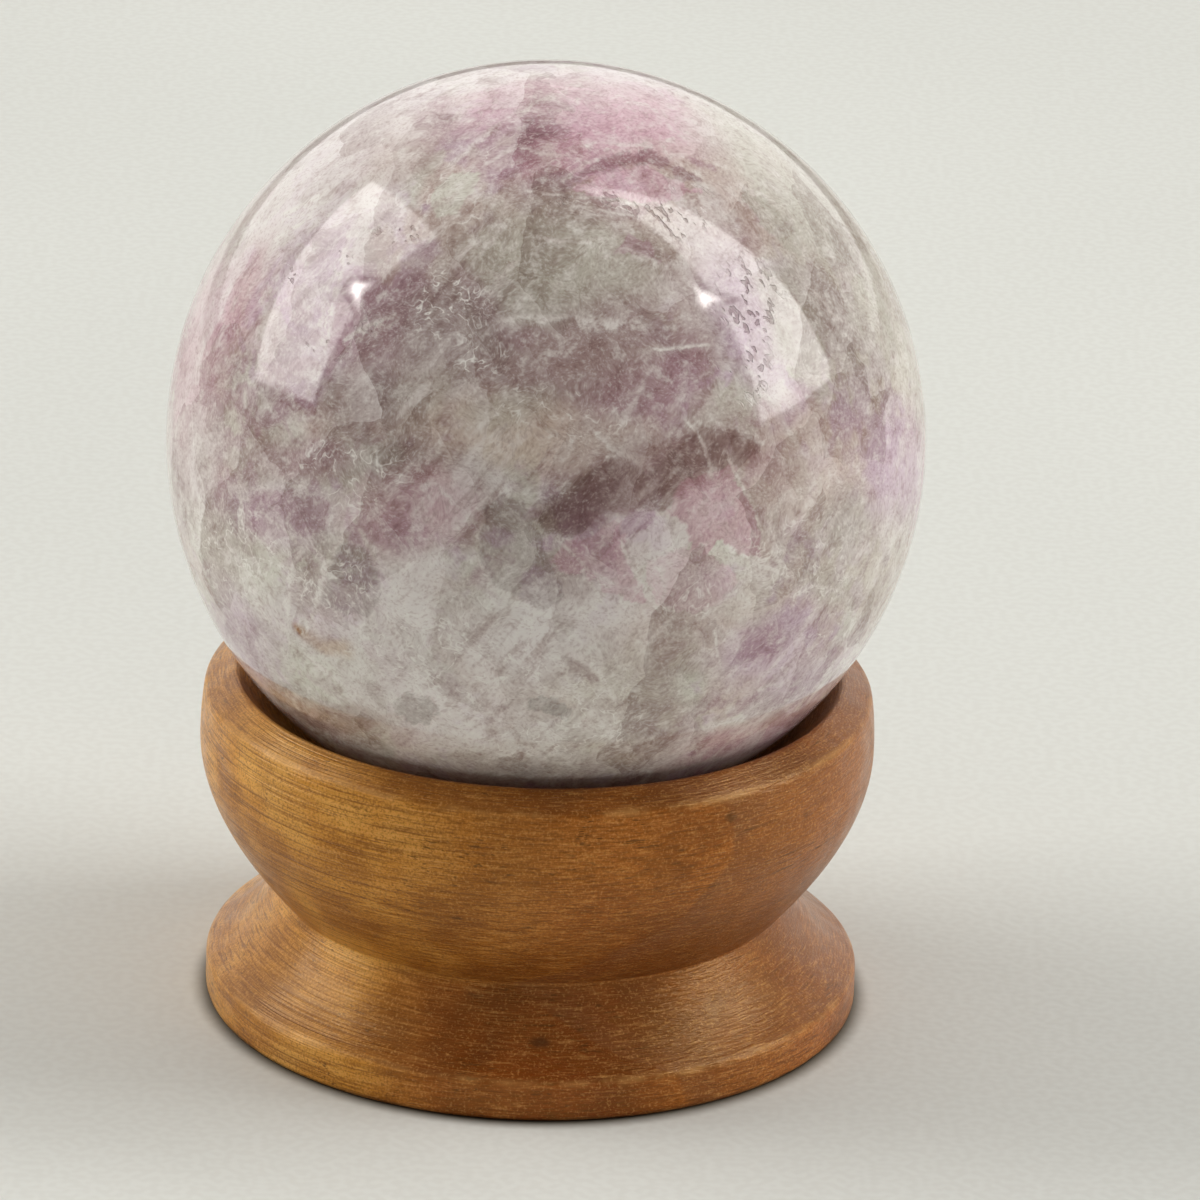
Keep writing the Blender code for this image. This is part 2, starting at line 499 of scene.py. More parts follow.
ZONES = (
    # Milky stone at the left limb, made full strength as a painted reflection of the floor.
    Zone((200, 455), (26, 70), StoneTone.MILK, 1.0),
    Zone((590, 620), (60, 30), StoneTone.MILK, 0.6, -15),
    Zone((390, 665), (70, 40), StoneTone.MILK, 0.55, -35),
    Zone((560, 750), (120, 26), StoneTone.PALE_GREEN, 0.6),
    Zone((250, 640), (40, 40), StoneTone.PALE_GREEN, 0.5, -45),
    Zone((330, 190), (110, 60), StoneTone.MILK, 0.75, 40),
    Zone((420, 120), (90, 34), StoneTone.MILK, 0.7, 24),
    Zone((255, 300), (26, 60), StoneTone.ROSE, 0.55, -24),
    Zone((215, 345), (22, 80), StoneTone.PINK, 0.6, -10),
    Zone((190, 400), (16, 80), StoneTone.ROSE, 0.4),
    Zone((320, 330), (44, 90), StoneTone.LILAC, 0.55, -28),
    Zone((560, 92), (150, 26), StoneTone.MILK, 0.8, -4),
    Zone((517, 118), (70, 20), StoneTone.PINK, 0.75, 22),
    Zone((640, 128), (80, 28), StoneTone.PINK, 0.75, -14),
    Zone((532, 158), (66, 36), StoneTone.MAUVE, 0.8, 6),
    Zone((542, 157), (30, 17), StoneTone.DEEP_MAUVE, 0.75, -20),
    Zone((600, 160), (60, 26), StoneTone.ROSE, 0.7, 10),
    Zone((435, 152), (30, 17), StoneTone.MAUVE, 0.55, 55),
    Zone((400, 170), (46, 26), StoneTone.SAND, 0.5, 30),
    Zone((560, 205), (44, 14), StoneTone.TAUPE, 0.6, -10),
    Zone((780, 180), (110, 40), StoneTone.PALE_GREEN, 0.8, -48),
    Zone((738, 320), (34, 70), StoneTone.LILAC, 0.8, 20),
    Zone((800, 330), (22, 70), StoneTone.GREY_GREEN, 0.7, 20),
    Zone((700, 240), (40, 30), StoneTone.MILK, 0.45, -45),
    Zone((845, 310), (46, 110), StoneTone.GREY_GREEN, 0.75, 26),
    Zone((900, 330), (24, 110), StoneTone.PALE_GREEN, 0.7, 18),
    Zone((545, 345), (145, 125), StoneTone.TAUPE, 0.85, soft=0.5),
    Zone((540, 350), (110, 80), StoneTone.DARK_TAUPE, 0.45),
    Zone((560, 262), (100, 50), StoneTone.GREY_GREEN, 0.85),
    Zone((612, 262), (50, 26), StoneTone.PALE_GREEN, 0.3, -30),
    Zone((540, 300), (46, 30), StoneTone.GREY_GREEN, 0.55),
    Zone((405, 308), (34, 19), StoneTone.DEEP_MAUVE, 0.5, 42),
    Zone((380, 345), (40, 24), StoneTone.MAUVE, 0.55, 42),
    Zone((492, 305), (36, 13), StoneTone.DEEP_MAUVE, 0.7, -48),
    Zone((527, 343), (20, 14), StoneTone.DEEP_MAUVE, 0.55),
    Zone((470, 330), (60, 44), StoneTone.GREY, 0.5, 20),
    Zone((430, 412), (46, 34), StoneTone.GREY_GREEN, 0.5, 30),
    Zone((360, 410), (60, 34), StoneTone.DARK_TAUPE, 0.55, -16),
    Zone((390, 470), (80, 24), StoneTone.DARK_TAUPE, 0.5, -8),
    # Painted shade and a painted reflection of the stand's wood, at the lower left rim.
    Zone((330, 722), (70, 16), StoneTone.DARK_TAUPE, 0.7, -32),
    Zone((298, 466), (56, 18), StoneTone.MAUVE, 0.6, -4),
    Zone((296, 515), (60, 28), StoneTone.LILAC, 0.6, -6),
    Zone((690, 366), (26, 30), StoneTone.DEEP_MAUVE, 0.55, 60),
    Zone((655, 400), (58, 34), StoneTone.MAUVE, 0.7, 28),
    Zone((610, 385), (60, 40), StoneTone.TAUPE, 0.5),
    Zone((530, 450), (86, 34), StoneTone.CREAM, 0.7, -8),
    Zone((600, 452), (46, 22), StoneTone.SAND, 0.7, 20),
    Zone((520, 425), (52, 16), StoneTone.GREY_GREEN, 0.5, 14),
    Zone((700, 440), (70, 24), StoneTone.TAUPE, 0.5, 22),
    Zone((655, 478), (112, 27), StoneTone.TAUPE, 0.7, 21, soft=0.45),
    Zone((795, 412), (26, 13), StoneTone.MAUVE, 0.5, 35),
    Zone((428, 522), (64, 32), StoneTone.ROSE, 0.75, -6),
    Zone((425, 538), (26, 13), StoneTone.MAUVE, 0.6, -20),
    Zone((430, 610), (80, 50), StoneTone.MILK, 0.5, -20),
    Zone((700, 600), (70, 40), StoneTone.MILK, 0.45, 20),
    Zone((330, 610), (60, 40), StoneTone.LILAC, 0.35, 20),
    Zone((240, 560), (50, 30), StoneTone.PALE_GREEN, 0.7, -52),
    Zone((248, 640), (34, 44), StoneTone.LILAC, 0.7, 40),
    Zone((236, 700), (60, 24), StoneTone.MILK, 0.5, -45),
    Zone((345, 690), (80, 30), StoneTone.PALE_GREEN, 0.55, -38),
    Zone((318, 627), (10, 5), StoneTone.IRON, 0.9, -30),
    Zone((340, 640), (30, 9), StoneTone.IRON, 0.45, -36),
    Zone((352, 648), (16, 10), StoneTone.CREAM, 0.7, -36),
    Zone((600, 560), (60, 36), StoneTone.MAUVE, 0.5, 20),
    Zone((640, 690), (90, 40), StoneTone.PALE_GREEN, 0.6, 10),
    Zone((540, 645), (70, 44), StoneTone.MILK, 0.9),
    Zone((470, 715), (100, 34), StoneTone.MILK, 0.75, -10),
    Zone((690, 620), (60, 30), StoneTone.SAND, 0.6, 30),
    Zone((805, 485), (60, 46), StoneTone.SAND, 0.75, 20),
    Zone((841, 519), (24, 32), StoneTone.GREY, 0.7, -24, soft=0.7),
    Zone((812, 583), (24, 22), StoneTone.GREY_GREEN, 0.55),
    Zone((870, 560), (44, 60), StoneTone.PALE_GREEN, 0.6, -24),
    Zone((900, 475), (30, 56), StoneTone.LILAC, 0.75, -6),
    Zone((770, 650), (50, 28), StoneTone.LILAC, 0.7, 38),
    Zone((762, 648), (20, 12), StoneTone.MAUVE, 0.5, 45),
    Zone((815, 682), (60, 24), StoneTone.LILAC, 0.75, 40),
    Zone((760, 735), (90, 18), StoneTone.ROSE, 0.7, 18),
    Zone((560, 765), (120, 14), StoneTone.GREY, 0.4),
    Zone((590, 230), (150, 80), StoneTone.LILAC, 0.7, 25, behind=True),
    Zone((400, 360), (110, 70), StoneTone.GREY_GREEN, 0.7, -30, behind=True),
    Zone((680, 430), (140, 30), StoneTone.DEEP_MAUVE, 0.7, -20, behind=True),
    Zone((640, 330), (120, 60), StoneTone.CREAM, 0.6, 20, behind=True),
    Zone((690, 520), (100, 60), StoneTone.ROSE, 0.7, 15, behind=True),
    Zone((430, 560), (100, 70), StoneTone.TAUPE, 0.7, 35, behind=True),
    Zone((560, 690), (190, 80), StoneTone.MILK, 0.6, behind=True),
    Zone((330, 240), (90, 60), StoneTone.PINK, 0.7, 40, behind=True),
    Zone((300, 470), (60, 90), StoneTone.MAUVE, 0.6, 10, behind=True),
    Zone((820, 300), (70, 100), StoneTone.PALE_GREEN, 0.7, 10, behind=True),
    Zone((500, 130), (90, 40), StoneTone.MAUVE, 0.6, 10, behind=True),
    Zone((830, 560), (60, 90), StoneTone.TAUPE, 0.5, behind=True),
)

PLATES = (
    Plate(((438, 203), (461, 185), (489, 188), (466, 226), (446, 234)), StoneTone.PALE_GREEN, 0.9),
    Plate(((323, 182), (331, 171), (357, 168), (359, 180), (344, 193), (331, 193)), StoneTone.MILK, 0.8),
    Plate(
        ((566, 200), (588, 183), (606, 172), (652, 160), (668, 170), (703, 193), (683, 193), (650, 175), (599, 188)),
        StoneTone.DEEP_MAUVE, 0.7,
    ),
    Plate(
        ((573, 205), (599, 190), (650, 177), (683, 195), (706, 206), (668, 214), (637, 217), (591, 209)),
        StoneTone.PINK, 0.75,
    ),
    Plate(((560, 132), (585, 112), (640, 116), (690, 146), (640, 158), (600, 164), (575, 150)), StoneTone.PINK, 0.55),
    Plate(((611, 269), (629, 249), (652, 254), (665, 277), (640, 272)), StoneTone.MAUVE, 0.6),
    Plate(((736, 200), (757, 206), (795, 234), (800, 272), (764, 239)), StoneTone.GREY_GREEN, 0.7),
    Plate(((352, 285), (385, 272), (394, 298), (372, 330), (352, 372), (338, 388), (344, 330)), StoneTone.MAUVE, 0.45),
    Plate(((267, 379), (323, 407), (334, 424), (300, 416), (270, 396)), StoneTone.DEEP_MAUVE, 0.55),
    Plate(((270, 330), (282, 300), (300, 330), (290, 372), (272, 372)), StoneTone.PALE_GREEN, 0.4),
    Plate(
        ((254, 509), (254, 532), (282, 545), (303, 540), (339, 537), (345, 509), (303, 494), (270, 497)),
        StoneTone.MAUVE, 0.5,
    ),
    Plate(((341, 560), (354, 542), (384, 553), (390, 599), (377, 622), (333, 604)), StoneTone.DARK_TAUPE, 0.5),
    Plate(((308, 573), (323, 563), (338, 568), (327, 596), (322, 611), (300, 604)), StoneTone.TAUPE, 0.55),
    Plate(((291, 562), (310, 551), (317, 562), (305, 569)), StoneTone.MAUVE, 0.5),
    Plate(
        ((489, 512), (487, 563), (499, 586), (532, 604), (552, 612), (570, 596), (556, 570), (548, 545), (530, 506), (508, 498)),
        StoneTone.DARK_TAUPE, 0.55,
    ),
    Plate(
        (
            (540, 509), (560, 502), (586, 481), (604, 466), (627, 468), (647, 479), (660, 466), (678, 456),
            (683, 440), (703, 433), (729, 438), (752, 443), (757, 458), (744, 471), (719, 471), (698, 479),
            (683, 489), (676, 500), (668, 514), (642, 513), (624, 512), (604, 522), (588, 537), (573, 542),
            (555, 540), (540, 526),
        ),
        StoneTone.UMBER, 0.5,
    ),
    Plate(
        (
            (683, 489), (698, 481), (729, 470), (739, 491), (752, 514), (759, 540), (757, 560), (744, 560),
            (734, 553), (716, 542), (703, 563), (690, 553), (688, 530), (678, 522), (670, 517),
        ),
        StoneTone.ROSE, 0.75,
    ),
    Plate(((625, 545), (629, 540), (662, 522), (688, 530), (690, 553), (662, 558), (645, 570), (634, 563)), StoneTone.MILK, 0.5),
    Plate(
        (
            (555, 563), (573, 545), (599, 537), (622, 522), (629, 542), (631, 563), (642, 586), (650, 606),
            (617, 599), (601, 588), (583, 578), (563, 573),
        ),
        StoneTone.ROSE, 0.7,
    ),
    Plate(
        ((650, 565), (683, 550), (713, 558), (734, 573), (744, 583), (719, 604), (698, 616), (662, 609), (648, 583)),
        StoneTone.PINK, 0.45,
    ),
    Plate(((405, 703), (415, 692), (436, 695), (448, 707), (437, 722), (412, 724)), StoneTone.GREY, 0.75),
    Plate(((532, 697), (548, 695), (562, 699), (577, 708), (573, 718), (555, 714), (536, 708)), StoneTone.GREY, 0.85),
    Plate(((566, 655), (590, 664), (606, 682), (595, 684), (573, 672)), StoneTone.TAUPE, 0.65),
    Plate(((700, 632), (712, 622), (724, 632), (718, 646), (704, 644)), StoneTone.TAUPE, 0.5),
    Plate(((496, 752), (530, 758), (560, 764), (540, 772), (505, 768)), StoneTone.GREY, 0.6),
    Plate(((470, 200), (520, 190), (560, 230), (520, 262), (470, 250)), StoneTone.GREY_GREEN, 0.5, behind=True),
    Plate(((640, 560), (720, 540), (760, 600), (690, 660), (640, 620)), StoneTone.ROSE, 0.7, behind=True),
    Plate(((420, 420), (500, 400), (530, 470), (450, 520), (400, 480)), StoneTone.DARK_TAUPE, 0.6, behind=True),
    Plate(((600, 300), (660, 280), (700, 330), (640, 380)), StoneTone.MILK, 0.6, behind=True),
    Plate(((300, 560), (360, 540), (390, 610), (330, 650)), StoneTone.MAUVE, 0.6, behind=True),
    Plate(((760, 380), (820, 360), (840, 440), (780, 470)), StoneTone.GREY, 0.5, behind=True),
    Plate(((480, 640), (540, 620), (590, 680), (520, 710)), StoneTone.GREY_GREEN, 0.6, behind=True),
)

FRACTURES = (
    Fracture(((480, 160), (500, 142), (526, 124), (562, 104)), 0.5, 5.0),
    Fracture(((500, 172), (522, 160), (548, 166), (578, 172)), 0.35, 3.0),
    Fracture(((566, 196), (590, 178), (612, 168)), 0.3, 2.4),
    Fracture(((556, 186), (574, 166), (598, 156), (640, 158)), 0.35, 2.4),
    Fracture(((545, 208), (575, 212), (610, 212), (642, 219)), 0.6, 2.2),
    Fracture(((560, 218), (596, 222), (628, 228)), 0.45, 1.8),
    Fracture(((586, 228), (612, 230)), 0.45, 1.6),
    Fracture(((306, 217), (320, 209)), 0.95, 2.6),
    Fracture(((298, 241), (312, 233)), 0.95, 2.4),
    Fracture(((357, 262), (352, 285), (346, 312), (341, 345), (334, 372)), 0.55, 3.4),
    Fracture(((336, 318), (332, 338), (338, 352)), 0.5, 4.0),
    Fracture(((365, 345), (378, 336), (392, 331)), 0.6, 3.0),
    Fracture(((372, 352), (386, 344), (400, 336)), 0.4, 2.0),
    Fracture(((546, 331), (575, 332), (612, 335)), 0.5, 6.0),
    Fracture(((556, 254), (580, 258), (590, 256)), 0.5, 2.6),
    Fracture(((611, 269), (628, 262), (648, 270)), 0.35, 2.0),
    Fracture(((668, 358), (694, 356)), 0.6, 2.2),
    Fracture(((640, 466), (650, 456), (664, 446)), 0.25, 2.4),
    Fracture(((693, 438), (703, 452), (708, 468)), 0.5, 2.4),
    Fracture(((604, 446), (618, 458), (634, 466)), 0.4, 3.4),
    Fracture(((339, 566), (334, 582), (330, 598), (324, 612)), 0.8, 3.6),
    Fracture(((358, 541), (346, 553), (341, 568)), 0.6, 3.0),
    Fracture(((320, 548), (309, 560), (302, 576), (300, 600)), 0.55, 3.4),
    Fracture(((253, 500), (254, 518), (252, 534)), 0.5, 2.6),
    Fracture(((284, 524), (300, 536), (316, 552)), 0.5, 2.4),
    Fracture(((374, 536), (386, 560), (402, 586), (414, 606), (422, 640)), 0.45, 2.6),
    Fracture(((456, 500), (470, 514), (484, 530), (487, 552)), 0.45, 3.0),
    Fracture(((487, 562), (499, 588), (532, 606), (556, 618), (580, 640)), 0.5, 3.0),
    Fracture(((620, 520), (624, 542), (632, 566), (643, 588), (658, 610)), 0.4, 2.2),
    Fracture(((660, 560), (646, 572), (640, 590)), 0.35, 2.2),
    Fracture(((663, 575), (666, 595), (661, 606)), 0.35, 2.4),
    Fracture(((729, 470), (741, 493), (752, 513), (759, 537), (783, 553), (796, 558)), 0.65, 2.4),
    Fracture(((741, 558), (756, 567), (774, 574)), 1.0, 2.6),
    Fracture(((700, 620), (716, 609), (722, 602), (750, 582)), 0.6, 2.6),
    Fracture(((588, 578), (597, 590), (604, 602)), 0.6, 3.0),
    Fracture(((578, 560), (590, 572), (606, 580)), 0.45, 2.4),
    Fracture(((574, 630), (592, 650), (602, 672), (612, 690)), 0.4, 3.0),
    Fracture(((815, 692), (846, 664), (869, 634)), 0.65, 4.0),
    Fracture(((828, 694), (852, 668)), 0.6, 3.0),
    Fracture(((716, 640), (718, 652)), 0.6, 2.0),
    Fracture(((800, 592), (812, 586), (828, 590)), 0.35, 2.2),
    Fracture(((333, 668), (360, 690), (392, 713)), 0.4, 3.0),
    Fracture(((478, 682), (500, 678), (516, 674)), 0.4, 2.4),
    Fracture(((598, 712), (606, 722), (612, 728)), 0.55, 5.0),
    Fracture(((518, 748), (530, 744), (545, 748)), 0.6, 4.0),
    Fracture(((654, 745), (662, 750), (658, 758)), 0.5, 3.0),
    Fracture(((700, 740), (716, 722), (760, 712)), 0.4, 4.0),
    Fracture(((820, 310), (830, 322), (842, 330)), 0.5, 2.6),
    Fracture(((404, 598), (420, 560), (424, 520)), 0.25, 3.0),
    Fracture(((230, 536), (250, 560), (270, 600)), 0.5, 4.0),
    Fracture(((500, 640), (540, 620), (590, 590), (610, 540)), 0.6, 3.0, behind=True),
    Fracture(((700, 360), (660, 400), (600, 420), (540, 470)), 0.5, 2.6, behind=True),
    Fracture(((420, 300), (460, 340), (470, 400)), 0.6, 3.0, behind=True),
    Fracture(((380, 620), (420, 590), (440, 540)), 0.5, 3.0, behind=True),
    Fracture(((620, 200), (680, 230), (720, 280)), 0.5, 3.0, behind=True),
    Fracture(((540, 500), (590, 510), (650, 500)), 0.5, 2.4, behind=True),
)

FROST = (
    Spot((456, 312), (46, 36)),
    Spot((492, 372), (34, 28)),
    Spot((600, 440), (40, 14), 0.7),
    Spot((540, 742), (60, 18)),
    Spot((606, 716), (46, 30)),
    Spot((470, 655), (110, 60), 0.8),
    Spot((345, 580), (46, 40), 0.8),
    Spot((250, 560), (50, 50), 0.9),
    Spot((340, 470), (50, 20), 0.8),
    Spot((800, 560), (70, 60), 0.6),
    Spot((840, 640), (40, 40), 0.8),
    Spot((700, 600), (60, 30), 0.6),
    Spot((380, 490), (50, 24), 0.8),
    Spot((560, 420), (70, 24), 0.6),
    Spot((450, 210), (50, 30), 0.6),
    Spot((470, 420), (110, 70), 0.8, behind=True),
    Spot((640, 600), (90, 70), 0.8, behind=True),
    Spot((700, 250), (90, 60), 0.7, behind=True),
)

# Places where the stone is darkened: mostly its own deeper colour, and at the lower rim painted shade and a painted
# reflection of the stand.
DEEP_TONE_AND_SHADE = (
    Spot((572, 524), (40, 24)),
    Spot((618, 494), (42, 28)),
    Spot((672, 472), (44, 28)),
    Spot((722, 455), (40, 22), 0.9),
    Spot((540, 158), (50, 26), 0.5),
    # These two, at the ball's lower rim, are painted shade and a painted reflection of the stand's wood.
    Spot((330, 722), (80, 16), 0.8),
    Spot((810, 712), (60, 14), 0.8),
    Spot((640, 470), (100, 40), 0.9, behind=True),
    Spot((420, 320), (60, 50), 0.7, behind=True),
    Spot((520, 620), (50, 60), 0.6, behind=True),
)

OPEN_POLISH = (
    Spot((668, 234), (36, 20)),
    Spot((748, 312), (30, 42)),
    Spot((742, 372), (24, 36), 0.9),
    Spot((690, 206), (22, 10), 0.8),
    Spot((602, 217), (44, 9), 0.9),
    Spot((408, 246), (24, 9), 0.8),
    Spot((354, 274), (10, 14), 0.7),
    Spot((302, 288), (8, 14), 0.8),
    Spot((331, 354), (12, 8), 0.8),
    Spot((384, 340), (22, 14), 0.7),
    Spot((450, 330), (80, 40), 0.9, behind=True),
    Spot((700, 480), (60, 40), 0.8, behind=True),
)


@dataclass(frozen=True)
class StonePattern:
    """The placed colours and flaws of the stone, worked out for points of the ball's skin.

    The photograph shows the ball as a disc. A pixel on it stands for the point of the skin that is
    seen there, or for the one straight behind it.
    """

    disc_middle: Point = (549.5, 440.9)
    disc_radius: float = 380.0
    slow_drift: float = 16.0
    fine_drift: float = 6.0
    far: float = 60.0

    def attributes(self, skin: np.ndarray) -> dict[str, np.ndarray]:
        """Works out every attribute that the polished stone reads.

        Args:
            skin: Points of a unit ball, in the viewer's frame: right, up and towards the viewer.

        Returns:
            Arrays by attribute name. Those with three columns are colours.
        """
        drift = drifts(skin, 2.4, 4)
        ripple = drifts(skin, 9.0, 4)
        pixels = np.stack((
            self.disc_middle[0] + self.disc_radius * skin[:, 0],
            self.disc_middle[1] - self.disc_radius * skin[:, 1],
        ), axis=1)
        loose = pixels + self.slow_drift * drift[:, :2] + self.fine_drift * ripple[:, :2]
        firm = pixels + 0.3 * self.fine_drift * ripple[:, :2]
        front = eased(skin[:, 2], -0.06, 0.06)
        ground = self.zones(self.clouds(skin, drift, ripple), loose, front)
        plate, reach = self.plates(ground, firm, front)
        side, crack = self.fractures(firm, front)
        return {
            "ground": ground,
            "plate": plate,
            "plate_reach": reach / 10,
            "crack_side": side / 10,
            "crack": crack,
            "frost": self.spots(FROST, loose, front),
            "deep": self.spots(DEEP_TONE_AND_SHADE, loose, front),
            "open_polish": self.spots(OPEN_POLISH, pixels, front),
        }

    def clouds(self, skin: np.ndarray, drift: np.ndarray, ripple: np.ndarray) -> np.ndarray:
        """Lays the slow clouds under everything else.

        Args:
            skin: Points of the unit ball.
            drift: A slow drift for each point.
            ripple: A finer one.

        Returns:
            A colour for each point.
        """
        green = layered(skin * 1.5 + 0.5 * drift, 5)
        pink = layered(skin * 1.8 + 7.3 + 0.5 * ripple, 5)
        pale = layered(skin * 4.2 - 3.1 + 0.4 * drift, 5)
        colour = blend(tone_of(StoneTone.SAND), tone_of(StoneTone.PALE_GREEN), eased(green, -0.25, 0.3))
        colour = blend(colour, tone_of(StoneTone.LILAC), 0.8 * eased(pink, 0.0, 0.45))
        colour = blend(colour, tone_of(StoneTone.MAUVE), 0.6 * eased(-pink, 0.2, 0.6))
        return blend(colour, tone_of(StoneTone.MILK), 0.7 * eased(pale, 0.0, 0.5))

    def zones(self, colour: np.ndarray, pixels: np.ndarray, front: np.ndarray) -> np.ndarray:
        """Lays the soft zones over the clouds.

        Args:
            colour: A colour for each point.
            pixels: The pixel for each point.
            front: How far each point is on the viewer's side.

        Returns:
            The colours with the zones.
        """
        for zone in ZONES:
            side = 1 - front if zone.behind else front
            reach = oval_reach(pixels, zone.at, zone.size, zone.turn)
            share = zone.strength * side * eased(reach, 1 + zone.soft, 1 - zone.soft)
            colour = blend(colour, tone_of(zone.tone), share)
        return colour

    def plates(
        self, ground: np.ndarray, pixels: np.ndarray, front: np.ndarray
    ) -> tuple[np.ndarray, np.ndarray]:
        """Finds each point's nearest plate.

        Args:
            ground: A colour for each point.
            pixels: The pixel for each point.
            front: How far each point is on the viewer's side.

        Returns:
            The nearest plate's colour, and how far inside its edge the point lies, in pixels.
        """
        colour = ground.copy()
        reach = np.full(len(pixels), -self.far)
        for plate in PLATES:
            inside = inside_distance(pixels, plate.corners)
            inside = np.where((front > 0.5) != plate.behind, inside, -self.far)
            nearer = inside > reach
            tinted = blend(ground, tone_of(plate.tone), np.full(len(pixels), plate.strength))
            colour[nearer] = tinted[nearer]
            reach = np.maximum(reach, inside)
        return colour, reach

    def fractures(self, pixels: np.ndarray, front: np.ndarray) -> tuple[np.ndarray, np.ndarray]:
        """Finds each point's nearest fracture.

        Args:
            pixels: The pixel for each point.
            front: How far each point is on the viewer's side.

        Returns:
            How far to one side of the fracture the point lies, in its own half widths, and how
            strong the fracture is there.
        """
        near = np.full(len(pixels), self.far)
        side = np.full(len(pixels), self.far)
        strength = np.zeros(len(pixels))
        for fracture in FRACTURES:
            for start, end in zip(fracture.points, fracture.points[1:]):
                away, across = segment_distance(pixels, start, end)
                away = np.where((front > 0.5) != fracture.behind, away / fracture.width, self.far)
                nearer = away < near
                near = np.where(nearer, away, near)
                side = np.where(nearer, across / fracture.width, side)
                strength = np.where(nearer, fracture.strength * eased(away, 9.0, 4.0), strength)
        return side, strength

    def spots(self, spots: Iterable[Spot], pixels: np.ndarray, front: np.ndarray) -> np.ndarray:
        """Adds up round areas.

        Args:
            spots: The areas.
            pixels: The pixel for each point.
            front: How far each point is on the viewer's side.

        Returns:
            A number from 0 to 1 for each point.
        """
        total = np.zeros(len(pixels))
        for spot in spots:
            side = 1 - front if spot.behind else front
            reach = oval_reach(pixels, spot.at, spot.size, 0.0)
            total = np.maximum(total, spot.strength * side * eased(reach, 1.4, 0.5))
        return total


def tone_of(tone: StoneTone) -> np.ndarray:
    """Returns a tone's linear red, green and blue."""
    return np.array(tone.value[:3])


def blend(under: np.ndarray, over: np.ndarray, share: np.ndarray) -> np.ndarray:
    """Returns colours between two others, by a share for each point."""
    return under * (1 - share[:, None]) + over * share[:, None]


def eased(value: np.ndarray, start: float, end: float) -> np.ndarray:
    """Returns 0 before start and 1 past end, eased in between. Start may be above end."""
    share = np.clip((value - start) / (end - start), 0.0, 1.0)
    return share * share * (3 - 2 * share)


def layered(places: np.ndarray, octaves: int) -> np.ndarray:
    """Returns layered noise, about -0.5 to 0.5, for each place."""
    return np.array([noise.fractal(place, 0.9, 2.0, octaves) for place in map(Vector, places)])


def drifts(places: np.ndarray, scale: float, octaves: int) -> np.ndarray:
    """Returns a smooth push for each place, about -1 to 1 along each axis.

    Args:
        places: The places.
        scale: Features for each unit of length.
        octaves: How many finer layers it has.

    Returns:
        The pushes.
    """
    pushes = [noise.turbulence_vector(place * scale, octaves, False) for place in map(Vector, places)]
    return np.array(pushes)


def oval_reach(pixels: np.ndarray, at: Point, size: Point, turn: float) -> np.ndarray:
    """Measures how far pixels lie from an oval's middle.

    Args:
        pixels: The pixels.
        at: The oval's middle.
        size: Its half lengths.
        turn: Its turn, anticlockwise, in degrees.

    Returns:
        1 on the oval's outline, less inside and more outside.
    """
    angle = math.radians(turn)
    right = pixels[:, 0] - at[0]
    up = at[1] - pixels[:, 1]
    along = (right * math.cos(angle) + up * math.sin(angle)) / size[0]
    across = (up * math.cos(angle) - right * math.sin(angle)) / size[1]
    return np.hypot(along, across)


def segment_distance(pixels: np.ndarray, start: Point, end: Point) -> tuple[np.ndarray, np.ndarray]:
    """Measures how far pixels lie from a straight stretch.

    Args:
        pixels: The pixels.
        start: Where the stretch begins.
        end: Where it ends.

    Returns:
        The distance to the stretch, and the distance to one side of its line.
    """
    way = np.array(end, dtype=float) - start
    length = math.hypot(*way)
    offset = pixels - start
    along = np.clip(offset @ way / length**2, 0.0, 1.0)
    away = np.linalg.norm(offset - along[:, None] * way, axis=1)
    across = (offset[:, 0] * way[1] - offset[:, 1] * way[0]) / length
    return away, across


def inside_distance(pixels: np.ndarray, corners: Sequence[Point]) -> np.ndarray:
    """Measures how far inside an outline pixels lie.

    Args:
        pixels: The pixels.
        corners: The outline's corners, in order.

    Returns:
        The distance to the outline, negative outside it.
    """
    near = np.full(len(pixels), np.inf)
    inside = np.zeros(len(pixels), dtype=bool)
    x, y = pixels[:, 0], pixels[:, 1]
    for (x0, y0), (x1, y1) in zip(corners, (*corners[1:], corners[0])):
        away, _ = segment_distance(pixels, (x0, y0), (x1, y1))
        near = np.minimum(near, away)
        if y0 != y1:
            crosses = ((y0 > y) != (y1 > y)) & (x < (x1 - x0) * (y - y0) / (y1 - y0) + x0)
            inside ^= crosses
    return np.where(inside, near, -near)


